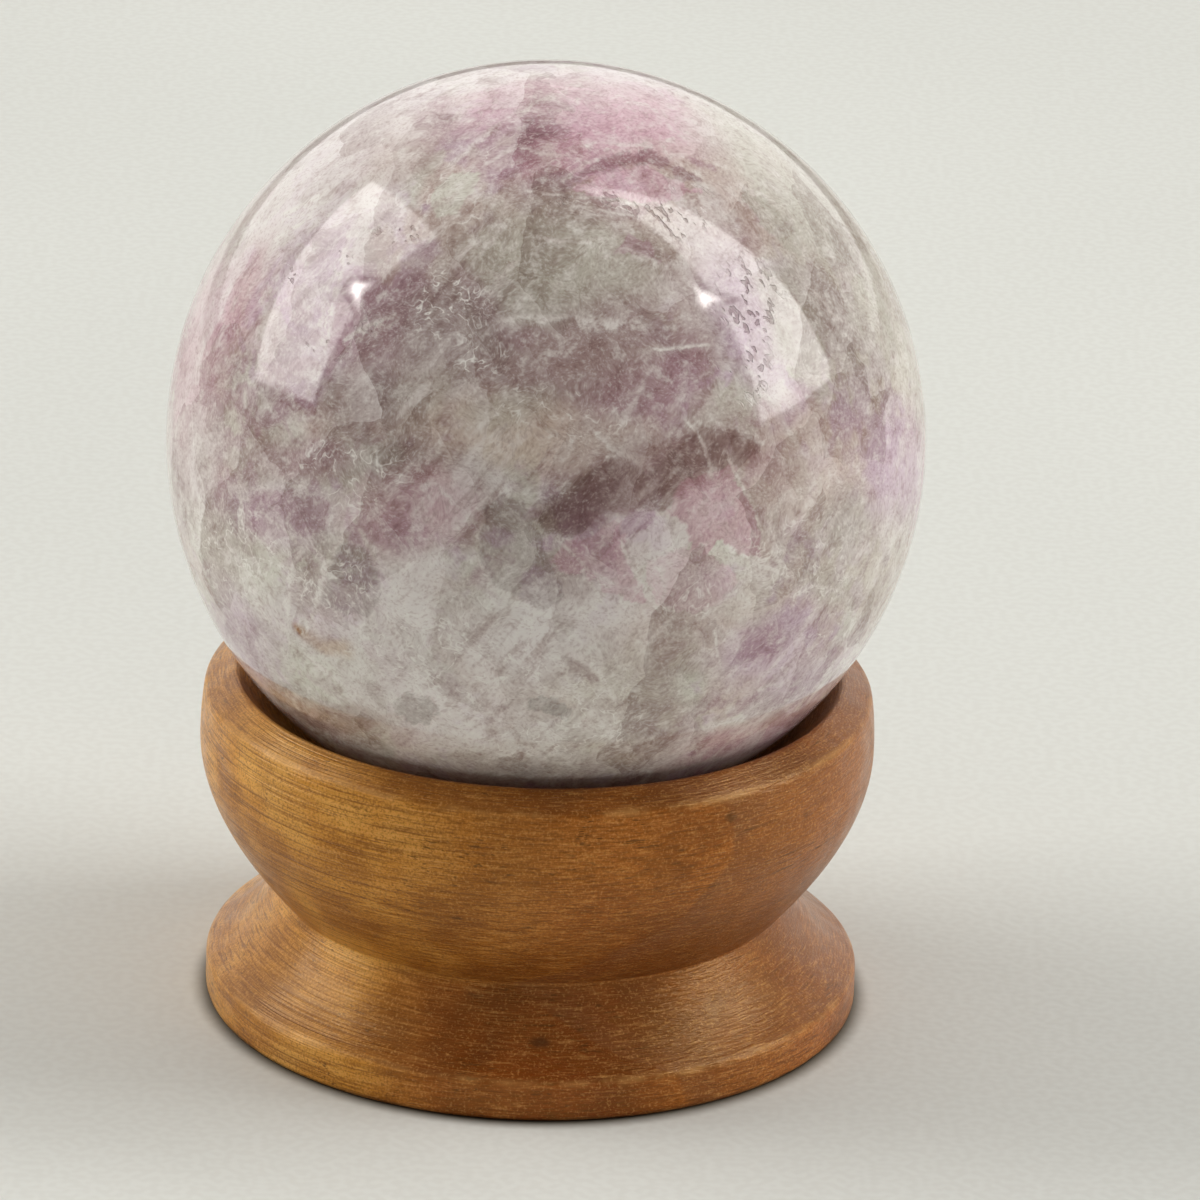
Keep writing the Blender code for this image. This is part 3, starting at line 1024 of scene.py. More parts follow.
@dataclass(frozen=True)
class PolishedStone:
    """The polish and the crystal texture of the stone, over the colours that the mesh carries."""

    centre: Vector
    radius: float
    polish: float = 0.05
    refraction: float = 1.55
    richness: float = 1.15
    fibre_turn: tuple[float, float, float] = (0.2, 0.1, -0.7)

    def build(self) -> bpy.types.Material:
        """Returns the material."""
        sheet = ShaderSheet("polished_stone")
        turn = VIEWPOINT.turned().to_euler("XYZ")
        place = sheet.local(sheet.object_place(), self.centre, turn, (self.radius,) * 3)
        grain = sheet.noise(place, 24.0, 3.0, 0.66)
        bent = sheet.warp(place, 7.0, 0.05, 2.0)

        along = sheet.local(place, (0.0, 0.0, 0.0), self.fibre_turn, (0.34, 1.9, 0.6))
        silk = sheet.noise(along, 10.0, 3.0, 0.6)
        colour = self.placed(sheet, grain, silk)
        colour = self.splinters(sheet, colour, bent)
        colour = self.fibres(sheet, colour, place, silk)
        colour = self.frosting(sheet, colour, bent, grain)
        # Darker by the deep attribute: the stone's deeper colour, with painted shade and a painted reflection of the
        # stand at the lower rim.
        combed = sheet.math("ADD", sheet.attribute("deep"), sheet.math("MULTIPLY_ADD", silk, 1.2, -0.6))
        colour = sheet.mix(sheet.band(combed, 0.3, 0.9, 0.0, 0.45), colour, paint(172, 136, 130), "MULTIPLY")
        pits = self.pits(sheet, place)
        # Darker in the open pits: partly painted shade in the hollows, partly the dirt they hold.
        colour = sheet.mix(sheet.math("MULTIPLY", pits, 0.3), colour, StoneTone.DARK_TAUPE.value)
        rich = sheet.add("ShaderNodeHueSaturation")
        rich.inputs["Saturation"].default_value = self.richness
        rich.inputs["Value"].default_value = 1.04
        sheet.feed(rich.inputs["Color"], colour)
        shader = sheet.shader.inputs
        sheet.feed(shader["Base Color"], rich.outputs["Color"])
        self.surface(sheet, grain, pits)
        shader["IOR"].default_value = self.refraction
        return sheet.material

    def placed(self, sheet: ShaderSheet, grain: Feed, silk: Feed) -> bpy.types.NodeSocket:
        """Lays the plates and the white fractures over the zones.

        Args:
            sheet: The material's sheet.
            grain: Fine noise that roughens their edges.
            silk: Noise along the fibres, which frays the plates' edges.

        Returns:
            The colour.
        """
        white = paint(240, 236, 231)
        jag = sheet.math("MULTIPLY_ADD", grain, 0.9, -0.45)
        fray = sheet.math("MULTIPLY_ADD", silk, 2.4, -1.2)
        reach = sheet.math("ADD", sheet.attribute("plate_reach"), sheet.math("MULTIPLY", jag, 1.1))
        reach = sheet.math("ADD", reach, fray)
        cloud = sheet.band(sheet.math("ADD", silk, grain), 0.75, 1.15, 0.88, 1.0)
        share = sheet.math("MULTIPLY", sheet.band(reach, -0.14, 0.2), cloud)
        colour = sheet.mix(share, sheet.colour_attribute("ground"), sheet.colour_attribute("plate"))
        broken = sheet.band(grain, 0.46, 0.62)
        rim = sheet.band(sheet.math("ABSOLUTE", sheet.math("ADD", reach, 0.25)), 0.35, 0.0, 0.0, 0.35)
        colour = sheet.mix(sheet.math("MULTIPLY", rim, broken), colour, white)
        side = sheet.math("ABSOLUTE", sheet.math("ADD", sheet.attribute("crack_side"), sheet.math("MULTIPLY", jag, 0.4)))
        line = sheet.math("ADD", sheet.band(side, 0.12, 0.02, 0.0, 1.0), sheet.band(side, 0.5, 0.0, 0.0, 0.35))
        line = sheet.math("MULTIPLY", line, sheet.band(grain, 0.36, 0.58, 0.25, 1.0))
        return sheet.mix(sheet.math("MULTIPLY", line, sheet.attribute("crack")), colour, white)

    def splinters(self, sheet: ShaderSheet, colour: Feed, place: Feed) -> bpy.types.NodeSocket:
        """Parts the stone into long cleavage splinters, each frosted along one side.

        Args:
            sheet: The material's sheet.
            colour: The colour beneath.
            place: The place on the ball, slightly bent.

        Returns:
            The colour with the splinters.
        """
        for scale, turn, size, strength in (
            (4.2, (0.3, 0.2, -0.35), (0.7, 1.6, 1.0), 0.3),
            (9.0, (0.1, 0.4, 0.5), (0.6, 1.9, 1.0), 0.15),
        ):
            turned = sheet.local(place, (0.0, 0.0, 0.0), turn, size)
            node = sheet.add("ShaderNodeTexVoronoi")
            sheet.feed(node.inputs["Vector"], turned)
            node.inputs["Scale"].default_value = scale
            lot = sheet.split(node.outputs["Color"])
            offset = sheet.vector("SUBTRACT", turned, node.outputs["Position"])
            slope = sheet.vector("DOT_PRODUCT", offset, (0.8 * scale, 0.3 * scale, 0.4 * scale))
            frosted = sheet.band(slope, -0.1, 0.5)
            share = sheet.math("MULTIPLY", sheet.band(lot[0], 0.3, 1.0, 0.0, strength * 1.5), frosted)
            colour = sheet.mix(share, colour, StoneTone.MILK.value)
            shade = sheet.math("MULTIPLY", sheet.band(lot[1], 0.4, 1.0, 0.0, strength * 1.8), sheet.band(slope, 0.6, -0.3))
            colour = sheet.mix(shade, colour, paint(178, 160, 156), "MULTIPLY")
        return colour

    def fibres(
        self, sheet: ShaderSheet, colour: Feed, place: Feed, silk: Feed
    ) -> bpy.types.NodeSocket:
        """Draws the silky fibres along the crystal.

        Args:
            sheet: The material's sheet.
            colour: The colour beneath.
            place: The place on the ball.
            silk: Noise along the fibres.

        Returns:
            The colour with the fibres.
        """
        where = sheet.band(sheet.noise(place, 2.3, 2.0), 0.4, 0.6, 0.25, 1.0)
        pale = sheet.math("MULTIPLY", sheet.band(silk, 0.5, 0.72, 0.0, 0.46), where)
        colour = sheet.mix(pale, colour, paint(240, 234, 230))
        dark = sheet.math("MULTIPLY", sheet.band(silk, 0.48, 0.28, 0.0, 0.6), where)
        return sheet.mix(dark, colour, paint(192, 172, 170), "MULTIPLY")

    def frosting(
        self, sheet: ShaderSheet, colour: Feed, place: Feed, grain: Feed
    ) -> bpy.types.NodeSocket:
        """Adds the mottle, the curly wisps and the bright flecks of tiny inner cracks.

        Args:
            sheet: The material's sheet.
            colour: The colour beneath.
            place: The place on the ball, slightly bent.
            grain: Fine noise.

        Returns:
            The colour with the frosting.
        """
        white = paint(244, 241, 236)
        crumbs = sheet.noise(place, 100.0, 1.0, 0.7)
        colour = sheet.mix(sheet.band(grain, 0.48, 0.2, 0.0, 0.6), colour, paint(200, 180, 178), "MULTIPLY")
        colour = sheet.mix(sheet.band(grain, 0.5, 0.78, 0.0, 0.5), colour, white)
        colour = sheet.mix(sheet.band(crumbs, 0.5, 0.3, 0.0, 0.35), colour, paint(196, 178, 176), "MULTIPLY")
        colour = sheet.mix(sheet.band(crumbs, 0.52, 0.74, 0.0, 0.26), colour, white)
        curl = sheet.noise(place, 17.0, 2.0, 0.6)
        wisp = sheet.band(sheet.math("ABSOLUTE", sheet.math("SUBTRACT", curl, 0.5)), 0.03, 0.0)
        dense = sheet.math("MULTIPLY_ADD", sheet.attribute("frost"), 0.8, 0.05)
        ragged = sheet.band(grain, 0.4, 0.58)
        share = sheet.math("MULTIPLY", sheet.math("MULTIPLY", wisp, dense), ragged)
        return sheet.mix(share, colour, white)

    def pits(self, sheet: ShaderSheet, place: Feed) -> bpy.types.NodeSocket:
        """Returns where small open pits break the polish, as short hooks and dashes.

        Args:
            sheet: The material's sheet.
            place: The place on the ball.

        Returns:
            1 inside a pit and 0 on sound polish.
        """
        leaning = sheet.local(place, (0.0, 0.0, 0.0), (0.0, 0.0, 0.6), (0.55, 1.1, 0.8))
        crumb = sheet.noise(leaning, 17.0, 2.0, 0.78)
        deep = sheet.band(crumb, 0.575, 0.605)
        shallow = sheet.band(crumb, 0.69, 0.65, 0.4, 1.0)
        return sheet.math("MULTIPLY", sheet.math("MULTIPLY", deep, shallow), sheet.attribute("open_polish"))

    def surface(self, sheet: ShaderSheet, grain: Feed, pits: Feed) -> None:
        """Sets how the polish shines, with its worn places and open pits.

        Args:
            sheet: The material's sheet.
            grain: Fine noise.
            pits: Where the pits are.
        """
        polish = sheet.band(grain, 0.3, 0.75, self.polish, self.polish * 2.2)
        rough = sheet.math("ADD", polish, sheet.math("MULTIPLY", pits, 0.55))
        sheet.feed(sheet.shader.inputs["Roughness"], rough)
        sheet.feed(sheet.shader.inputs["Normal"], sheet.relief(sheet.math("SUBTRACT", 1.0, pits), 7.0e-5))


@dataclass(frozen=True)
class Chip:
    """A small open pit in the polish, by its pixel on the photograph. Lengths are in metres."""

    at: Point
    reach: float
    depth: float
    behind: bool = False


@dataclass
class StoneSphere:
    """The polished ball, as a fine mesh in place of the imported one."""

    node: str = "stone_sphere"
    slot: str = "polished_stone"
    fineness: int = 7
    fine_beyond: float = 0.08
    pattern: StonePattern = StonePattern()
    chips: tuple[Chip, ...] = (
        Chip((316, 627), 0.00045, 0.00012),
        Chip((527, 744), 0.0004, 0.00012),
        Chip((516, 727), 0.0003, 0.0001),
        Chip((641, 696), 0.0002, 0.00008),
        Chip((916, 436), 0.0002, 0.00008),
        Chip((570, 330), 0.0004, 0.00008, behind=True),
        Chip((430, 600), 0.0004, 0.0001, behind=True),
    )
    centre: Vector = field(init=False)
    radius: float = field(init=False)

    def __post_init__(self) -> None:
        """Reads the ball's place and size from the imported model."""
        low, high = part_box(self.node)
        self.radius = (high.z - low.z) / 2
        self.centre = Vector((0.0, 0.0, (high.z + low.z) / 2))

    def build(self) -> bpy.types.Object:
        """Returns the ball, dressed and put in place of its node."""
        ball = bmesh.new()
        bmesh.ops.create_icosphere(ball, subdivisions=self.fineness, radius=self.radius)
        towards = VIEWPOINT.turned().col[2]
        least = self.fine_beyond * self.radius
        near = [edge for edge in ball.edges if min(vert.co.dot(towards) for vert in edge.verts) > least]
        bmesh.ops.subdivide_edges(ball, edges=near, cuts=1, use_grid_fill=True)
        bmesh.ops.triangulate(ball, faces=[face for face in ball.faces if len(face.verts) > 3])
        for vert in ball.verts:
            vert.co = vert.co.normalized() * self.radius
        skin = np.array([vert.co for vert in ball.verts]) @ np.array(VIEWPOINT.turned()) / self.radius
        self.sink_chips(ball, skin)
        bmesh.ops.translate(ball, verts=ball.verts, vec=self.centre)
        for face in ball.faces:
            face.smooth = True
        piece = finished("sphere_body", ball)
        for name, values in self.pattern.attributes(skin).items():
            store(piece.data, name, values)
        piece.data.materials.append(PolishedStone(self.centre, self.radius).build())
        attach(piece, "root")
        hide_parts(self.node)
        return piece

    def sink_chips(self, ball: bmesh.types.BMesh, skin: np.ndarray) -> None:
        """Presses the small pits into the ball.

        Args:
            ball: The ball's mesh, about its own middle.
            skin: The same points as a unit ball in the viewer's frame.
        """
        ball.verts.ensure_lookup_table()
        for chip in self.chips:
            right = (chip.at[0] - self.pattern.disc_middle[0]) / self.pattern.disc_radius
            up = (self.pattern.disc_middle[1] - chip.at[1]) / self.pattern.disc_radius
            away = np.linalg.norm(skin - np.array(facing(right, up, chip.behind)), axis=1) * self.radius
            for index in np.flatnonzero(away < 3 * chip.reach):
                vert = ball.verts[index]
                ragged = 1.0 + 0.5 * noise.noise(vert.co / (0.5 * chip.reach))
                fall = chip.depth * ragged * math.exp(-1.5 * (away[index] / chip.reach) ** 2)
                vert.co -= vert.co.normalized() * fall


def store(mesh: bpy.types.Mesh, name: str, values: np.ndarray) -> None:
    """Gives a mesh one number or one colour for each of its points.

    Args:
        mesh: The mesh.
        name: The attribute's name.
        values: The numbers, or rows of red, green and blue.
    """
    if values.ndim == 1:
        layer = mesh.attributes.new(name, "FLOAT", "POINT")
        layer.data.foreach_set("value", values.astype(np.float32))
        return
    layer = mesh.attributes.new(name, "FLOAT_COLOR", "POINT")
    rows = np.ones((len(values), 4), dtype=np.float32)
    rows[:, :3] = values
    layer.data.foreach_set("color", rows.ravel())


# The stand


@dataclass(frozen=True)
class VarnishedWood:
    """Honey-brown turned wood under a satin varnish. Lengths are in millimetres."""

    pith: Point = (7.5, 2.0)
    ring_gap: float = 3.3
    heart_radius: float = 21.2
    knots: tuple[tuple[tuple[float, float, float], tuple[float, float, float]], ...] = (
        ((0.9, -19.3, 4.6), (0.6, 0.7, 0.26)),
        ((-3.6, -17.9, 6.9), (0.7, 0.7, 0.2)),
        ((14.4, -12.2, 6.4), (0.45, 0.6, 0.22)),
        ((12.7, -18.0, 20.6), (0.45, 0.6, 0.3)),
        ((17.6, -13.2, 19.0), (0.4, 0.6, 0.4)),
        ((-3.6, -21.9, 19.6), (0.4, 0.6, 0.1)),
        ((-4.8, -21.3, 14.0), (0.5, 0.6, 0.12)),
        ((-0.2, -21.6, 13.6), (0.5, 0.6, 0.1)),
        ((-9.0, 17.5, 5.6), (0.5, 0.6, 0.3)),
        ((-18.4, 10.6, 17.0), (0.45, 0.6, 0.35)),
    )

    def build(self) -> bpy.types.Material:
        """Returns the material."""
        sheet = ShaderSheet("varnished_wood")
        place = sheet.local(sheet.object_place(), (0.0, 0.0, 0.0), (0.0, 0.0, 0.0), (MILLIMETRE,) * 3)
        x, y, z = sheet.split(place)
        off_axis = sheet.vector("LENGTH", sheet.join(x, y, 0.0))
        bent = sheet.warp(place, 0.09, 1.2, 2.0)
        age = self.age(sheet, bent)
        heart = sheet.band(age, self.heart_radius + 0.5, self.heart_radius - 0.5)
        heart = sheet.math("MULTIPLY", heart, sheet.band(z, 5.0, 9.0))

        colour = self.ground(sheet, place, heart)
        colour = self.rings(sheet, colour, place, age)
        lines = self.turning_lines(sheet, place, off_axis, z)
        colour = self.streaks(sheet, colour, lines, heart)
        colour = self.specks(sheet, colour, place, off_axis, z)
        colour = self.pin_knots(sheet, colour, place)
        # Lighter along the crests of the lip and the foot: partly wear, partly a painted highlight where the edges
        # catch the light.
        ragged = sheet.band(sheet.noise(place, 0.35, 3.0, 0.6), 0.38, 0.62)
        worn_and_highlit = sheet.math("MULTIPLY", sheet.attribute("wear"), ragged)
        colour = sheet.mix(sheet.math("MULTIPLY", worn_and_highlit, 0.42), colour, paint(222, 166, 98))
        shader = sheet.shader.inputs
        sheet.feed(shader["Base Color"], colour)
        self.surface(sheet, place, lines)
        shader["Specular IOR Level"].default_value = 0.75
        shader["Specular Tint"].default_value = (1.0, 0.64, 0.22, 1.0)
        shader["Coat Weight"].default_value = 0.14
        shader["Coat Roughness"].default_value = 0.12
        return sheet.material

    def age(self, sheet: ShaderSheet, place: Feed) -> bpy.types.NodeSocket:
        """Returns the distance from the pith, in millimetres.

        Args:
            sheet: The material's sheet.
            place: The place, in millimetres, slightly bent.

        Returns:
            The distance.
        """
        x, y, _ = sheet.split(sheet.vector("SUBTRACT", place, (*self.pith, 0.0)))
        return sheet.vector("LENGTH", sheet.join(x, y, 0.0))

    def ground(self, sheet: ShaderSheet, place: Feed, heart: Feed) -> bpy.types.NodeSocket:
        """Lays the wood's own colour, darker where the end grain drinks the varnish, with painted shade towards the
        front right and on the front of the cove.

        Args:
            sheet: The material's sheet.
            place: The place, in millimetres.
            heart: Where the darker heartwood is.

        Returns:
            The colour.
        """
        blotch = sheet.noise(place, 0.16, 2.0, 0.6)
        colour = sheet.ramp(sheet.band(blotch, 0.32, 0.68), (
            (0.0, paint(180, 115, 30)),
            (0.45, paint(214, 147, 52)),
            (1.0, paint(232, 171, 78)),
        ))
        # Painted shade: the wood is darker towards the front right, away from the light, and paler at the back left.
        side = sheet.band(sheet.vector("DOT_PRODUCT", place, (0.85, -0.5, 0.0)), -6.0, 16.0)
        colour = sheet.mix(sheet.math("MULTIPLY", side, 0.85), colour, paint(180, 118, 66), "MULTIPLY")
        colour = sheet.mix(sheet.math("MULTIPLY", heart, 0.5), colour, paint(156, 92, 42))
        geometry = sheet.add("ShaderNodeNewGeometry")
        upright = sheet.math("ABSOLUTE", sheet.split(geometry.outputs["Normal"])[2])
        stain = sheet.band(blotch, 0.62, 0.38, 0.6, 1.0)
        end_grain = sheet.math("MULTIPLY", sheet.band(upright, 0.3, 0.75, 0.0, 0.92), stain)
        # The end-grain stain is made stronger towards the front right: partly real stain, partly painted shade.
        end_grain = sheet.math("MULTIPLY", end_grain, sheet.math("MULTIPLY_ADD", side, 0.6, 0.4))
        colour = sheet.mix(end_grain, colour, paint(102, 46, 4))
        x, y, z = sheet.split(place)
        # Painted shade: the front of the cove, below the waist, is darkened.
        painted_cove_shade = sheet.math("MULTIPLY", sheet.band(y, -7.0, -13.0), sheet.band(z, 8.2, 7.0))
        painted_cove_shade = sheet.math("MULTIPLY", painted_cove_shade, sheet.band(sheet.math("ABSOLUTE", x), 12.0, 5.0, 0.0, 0.7))
        return sheet.mix(painted_cove_shade, colour, paint(190, 118, 52), "MULTIPLY")

    def rings(self, sheet: ShaderSheet, colour: Feed, place: Feed, age: Feed) -> bpy.types.NodeSocket:
        """Draws the growth rings round the pith, and the dark edge of the heartwood.

        Args:
            sheet: The material's sheet.
            colour: The colour beneath.
            place: The place, in millimetres.
            age: The distance from the pith.

        Returns:
            The colour with the rings.
        """
        season = sheet.math("FRACT", sheet.math("DIVIDE", age, self.ring_gap))
        late = sheet.math("MULTIPLY", sheet.band(season, 0.35, 0.92), sheet.band(season, 1.0, 0.94))
        colour = sheet.mix(sheet.math("MULTIPLY", late, 0.2), colour, paint(138, 82, 32))
        from_edge = sheet.math("SUBTRACT", age, self.heart_radius)
        edge = sheet.math("MULTIPLY", sheet.band(from_edge, 0.15, -0.05), sheet.band(from_edge, -2.6, -0.1))
        uneven = sheet.band(sheet.noise(place, 0.3, 3.0), 0.32, 0.6, 0.3, 1.0)
        return sheet.mix(sheet.math("MULTIPLY", sheet.math("MULTIPLY", edge, uneven), 0.8), colour, paint(128, 72, 40))

    def turning_lines(
        self, sheet: ShaderSheet, place: Feed, off_axis: Feed, height: Feed
    ) -> bpy.types.NodeSocket:
        """Returns the fine broken lines that the tool left round the piece.

        Args:
            sheet: The material's sheet.
            place: The place, in millimetres.
            off_axis: The distance from the turning axis, in millimetres.
            height: The height, in millimetres.

        Returns:
            The lines, about 0.5 on average.
        """
        x, y, _ = sheet.split(place)
        round_it = sheet.math("MULTIPLY", sheet.math("ADD", x, y), 0.42)
        track = sheet.join(sheet.math("MULTIPLY", off_axis, 4.6), round_it, sheet.math("MULTIPLY", height, 4.6))
        return sheet.noise(track, 1.1, 2.0, 0.76)

    def streaks(
        self, sheet: ShaderSheet, colour: Feed, lines: Feed, heart: Feed
    ) -> bpy.types.NodeSocket:
        """Stains the tool's lines, most of all outside the heartwood.

        Args:
            sheet: The material's sheet.
            colour: The colour beneath.
            lines: The tool's lines.
            heart: Where the heartwood is.

        Returns:
            The colour with the streaks.
        """
        much = sheet.math("MULTIPLY_ADD", heart, -0.45, 1.0)
        dark = sheet.math("MULTIPLY", sheet.band(lines, 0.56, 0.3, 0.0, 0.8), much)
        colour = sheet.mix(dark, colour, paint(118, 62, 14))
        pale = sheet.math("MULTIPLY", sheet.band(lines, 0.5, 0.74, 0.0, 0.34), much)
        return sheet.mix(pale, colour, paint(232, 172, 98))

    def specks(
        self, sheet: ShaderSheet, colour: Feed, place: Feed, off_axis: Feed, height: Feed
    ) -> bpy.types.NodeSocket:
        """Adds the fine specks of the pores, and short dark dashes where stain sits in a line.

        Args:
            sheet: The material's sheet.
            colour: The colour beneath.
            place: The place, in millimetres.
            off_axis: The distance from the turning axis, in millimetres.
            height: The height, in millimetres.

        Returns:
            The colour with the specks.
        """
        speck = sheet.noise(place, 5.8, 1.0, 0.65)
        colour = sheet.mix(sheet.band(speck, 0.52, 0.3, 0.0, 0.55), colour, paint(122, 66, 20))
        colour = sheet.mix(sheet.band(speck, 0.52, 0.74, 0.0, 0.34), colour, paint(228, 168, 98))
        x, y, _ = sheet.split(place)
        round_it = sheet.math("MULTIPLY", sheet.math("SUBTRACT", x, y), 0.9)
        track = sheet.join(sheet.math("MULTIPLY", off_axis, 3.6), round_it, sheet.math("MULTIPLY", height, 3.6))
        dash = sheet.noise(track, 1.1, 2.0, 0.72)
        zone = sheet.band(sheet.noise(place, 0.2, 2.0), 0.42, 0.6)
        share = sheet.math("MULTIPLY", sheet.band(dash, 0.60, 0.68, 0.0, 0.75), zone)
        return sheet.mix(share, colour, paint(84, 44, 12))

    def pin_knots(self, sheet: ShaderSheet, colour: Feed, place: Feed) -> bpy.types.NodeSocket:
        """Adds the few dark pin knots.

        Args:
            sheet: The material's sheet.
            colour: The colour beneath.
            place: The place, in millimetres.

        Returns:
            The colour with the knots.
        """
        ragged = sheet.warp(place, 1.8, 0.2, 2.0)
        for centre, size in self.knots:
            spot = sheet.vector("LENGTH", sheet.local(ragged, centre, (0.0, 0.0, 0.0), size))
            colour = sheet.mix(sheet.band(spot, 1.6, 0.5, 0.0, 0.8), colour, paint(74, 34, 12))
        return colour

    def surface(self, sheet: ShaderSheet, place: Feed, lines: Feed) -> None:
        """Sets the varnish's shine and its fine relief.

        Args:
            sheet: The material's sheet.
            place: The place, in millimetres.
            lines: The tool's lines.
        """
        smear = sheet.noise(place, 0.5, 3.0)
        sheet.feed(sheet.shader.inputs["Roughness"], sheet.band(smear, 0.3, 0.7, 0.28, 0.42))
        cut = sheet.relief(lines, 1.0e-4)
        sheet.feed(sheet.shader.inputs["Normal"], cut)
        sheet.feed(sheet.shader.inputs["Coat Normal"], cut)


@dataclass
class TurnedStand:
    """The cup stand, turned from one profile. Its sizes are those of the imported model, in metres."""

    node: str = "wooden_stand"
    slot: str = "turned_wood"
    sides: int = 320
    dish_relief: float = 0.0020
    seat_gap: float = 0.0003
    lip_width: float = 0.0020
    lip_fall: float = 0.0011
    lip_round: float = 0.0004
    cup_bulge: float = 0.0003
    shoulder_drop: float = 0.0037
    belly_pull: float = 0.0046
    waist_radius: float = 0.01715
    waist_height: float = 0.0078
    foot_radius: float = 0.02185
    foot_edge_height: float = 0.0028
    foot_upper_round: float = 0.0005
    foot_lower_round: float = 0.0006
    cove_sag: float = 0.0006
    stand_height: float = 0.0231
    groove_depth: float = 0.000012
    groove_gap: float = 0.00055
    ball: StoneSphere = field(default_factory=StoneSphere)

    def build(self) -> bpy.types.Object:
        """Returns the stand, dressed and put in place of its node."""
        profile = self.profile()
        stand = bmesh.new()
        verts = [stand.verts.new((radius, 0.0, height)) for radius, height in profile]
        edges = [stand.edges.new(pair) for pair in zip(verts, verts[1:])]
        bmesh.ops.spin(
            stand,
            geom=verts + edges,
            cent=(0.0, 0.0, 0.0),
            axis=(0.0, 0.0, 1.0),
            angle=math.tau,
            steps=self.sides,
            use_merge=True,
        )
        bmesh.ops.remove_doubles(stand, verts=stand.verts, dist=1.0e-6)
        bmesh.ops.recalc_face_normals(stand, faces=stand.faces)
        self.wear(stand)
        for face in stand.faces:
            face.smooth = True
        piece = finished("stand_body", stand)
        piece.data.materials.append(VarnishedWood().build())
        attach(piece, "root")
        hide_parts(self.node)
        return piece

    def profile(self) -> list[Point]:
        """Returns the profile, from the dish's middle over the lip and down to the underside."""
        dish_radius = self.ball.radius + self.dish_relief
        bottom = self.ball.centre.z - self.ball.radius - self.seat_gap
        depth = self.stand_height - bottom
        mouth = (math.sqrt(2 * dish_radius * depth - depth**2), self.stand_height)
        crest = (mouth[0] + self.lip_width, self.stand_height - self.lip_fall)
        cup_radius = crest[0] + self.cup_bulge
        widest = (cup_radius, crest[1] - self.shoulder_drop)
        shoulder_pull = (cup_radius, crest[1] - self.shoulder_drop / 2)
        belly_pull = (cup_radius, widest[1] - self.belly_pull)
        waist = (self.waist_radius, self.waist_height)
        foot = (self.foot_radius, self.foot_edge_height)
        heel = (self.foot_radius, 0.0)

        mouth_angle = math.asin(mouth[0] / dish_radius) - self.lip_round / dish_radius
        dish = []
        for step in range(41):
            angle = mouth_angle * step / 40
            dish.append((dish_radius * math.sin(angle), bottom + dish_radius * (1 - math.cos(angle))))

        lip = rounded(dish[-1], mouth, crest, self.lip_round)
        crest_round = rounded(mouth, crest, shoulder_pull, self.lip_round)
        lip += straight(lip[-1], crest_round[0], 14)[:-1]
        shoulder = curved(crest_round[-1], shoulder_pull, widest, 26)
        belly = curved(widest, belly_pull, waist, 90)

        slope = math.dist(waist, foot)
        inward = ((foot[1] - waist[1]) / slope, (waist[0] - foot[0]) / slope)
        middle = tuple((a + b) / 2 for a, b in zip(waist, foot))
        cove_pull = tuple(m + 2 * self.cove_sag * n for m, n in zip(middle, inward))
        foot_round = rounded(cove_pull, foot, heel, self.foot_upper_round)
        cove = curved(waist, cove_pull, foot_round[0], 50)
        heel_round = rounded(foot, heel, (0.0, 0.0), self.foot_lower_round)
        edge = straight(foot_round[-1], heel_round[0], 14)[:-1]
        under = straight(heel_round[-1], (0.0, 0.0), 24)
        return dish + lip[1:] + crest_round + shoulder + belly + cove + foot_round[1:] + edge + heel_round + under

    def wear(self, stand: bmesh.types.BMesh) -> None:
        """Cuts the tool's shallow grooves, softens the edges unevenly and marks the crests, where the wood is
        lightened for wear and as a painted highlight.

        Args:
            stand: The stand's mesh.
        """
        # This crest mark places both the wear and a painted highlight.
        mark = stand.verts.layers.float.new("wear")
        crest_radius = self.crest_radius()
        edges = (
            (crest_radius, self.stand_height - self.lip_fall),
            (self.foot_radius, self.foot_edge_height),
            (self.foot_radius, 0.0),
        )
        for vert in stand.verts:
            off_axis = math.hypot(vert.co.x, vert.co.y)
            place = (off_axis, vert.co.z)
            nearest = min(math.dist(place, edge) for edge in edges)
            vert[mark] = math.exp(-((nearest / 0.00026) ** 2))
            if vert.co.z < 1.0e-5 or off_axis < 0.002:
                continue
            run = (off_axis + vert.co.z) / self.groove_gap
            groove = noise.noise(Vector((run, vert.co.x * 30, vert.co.y * 30)))
            bruise = max(0.0, noise.noise(vert.co * 420) - 0.25) * vert[mark] * 0.00018
            inward = self.groove_depth * (0.5 + 0.5 * groove) + bruise
            wobble = 0.00003 * noise.noise(vert.co * 60)
            vert.co.x -= vert.co.x / off_axis * (inward - min(0.0, wobble))
            vert.co.y -= vert.co.y / off_axis * (inward - min(0.0, wobble))

    def crest_radius(self) -> float:
        """Returns the radius of the lip's outer crest."""
        dish_radius = self.ball.radius + self.dish_relief
        depth = self.stand_height - (self.ball.centre.z - self.ball.radius - self.seat_gap)
        return math.sqrt(2 * dish_radius * depth - depth**2) + self.lip_width


def straight(start: Point, end: Point, steps: int) -> list[Point]:
    """Returns points on a straight line, without its start.

    Args:
        start: Where the line begins.
        end: Where it ends.
        steps: How many points it has.

    Returns:
        The points.
    """
    shares = (step / steps for step in range(1, steps + 1))
    return [tuple(a + share * (b - a) for a, b in zip(start, end)) for share in shares]


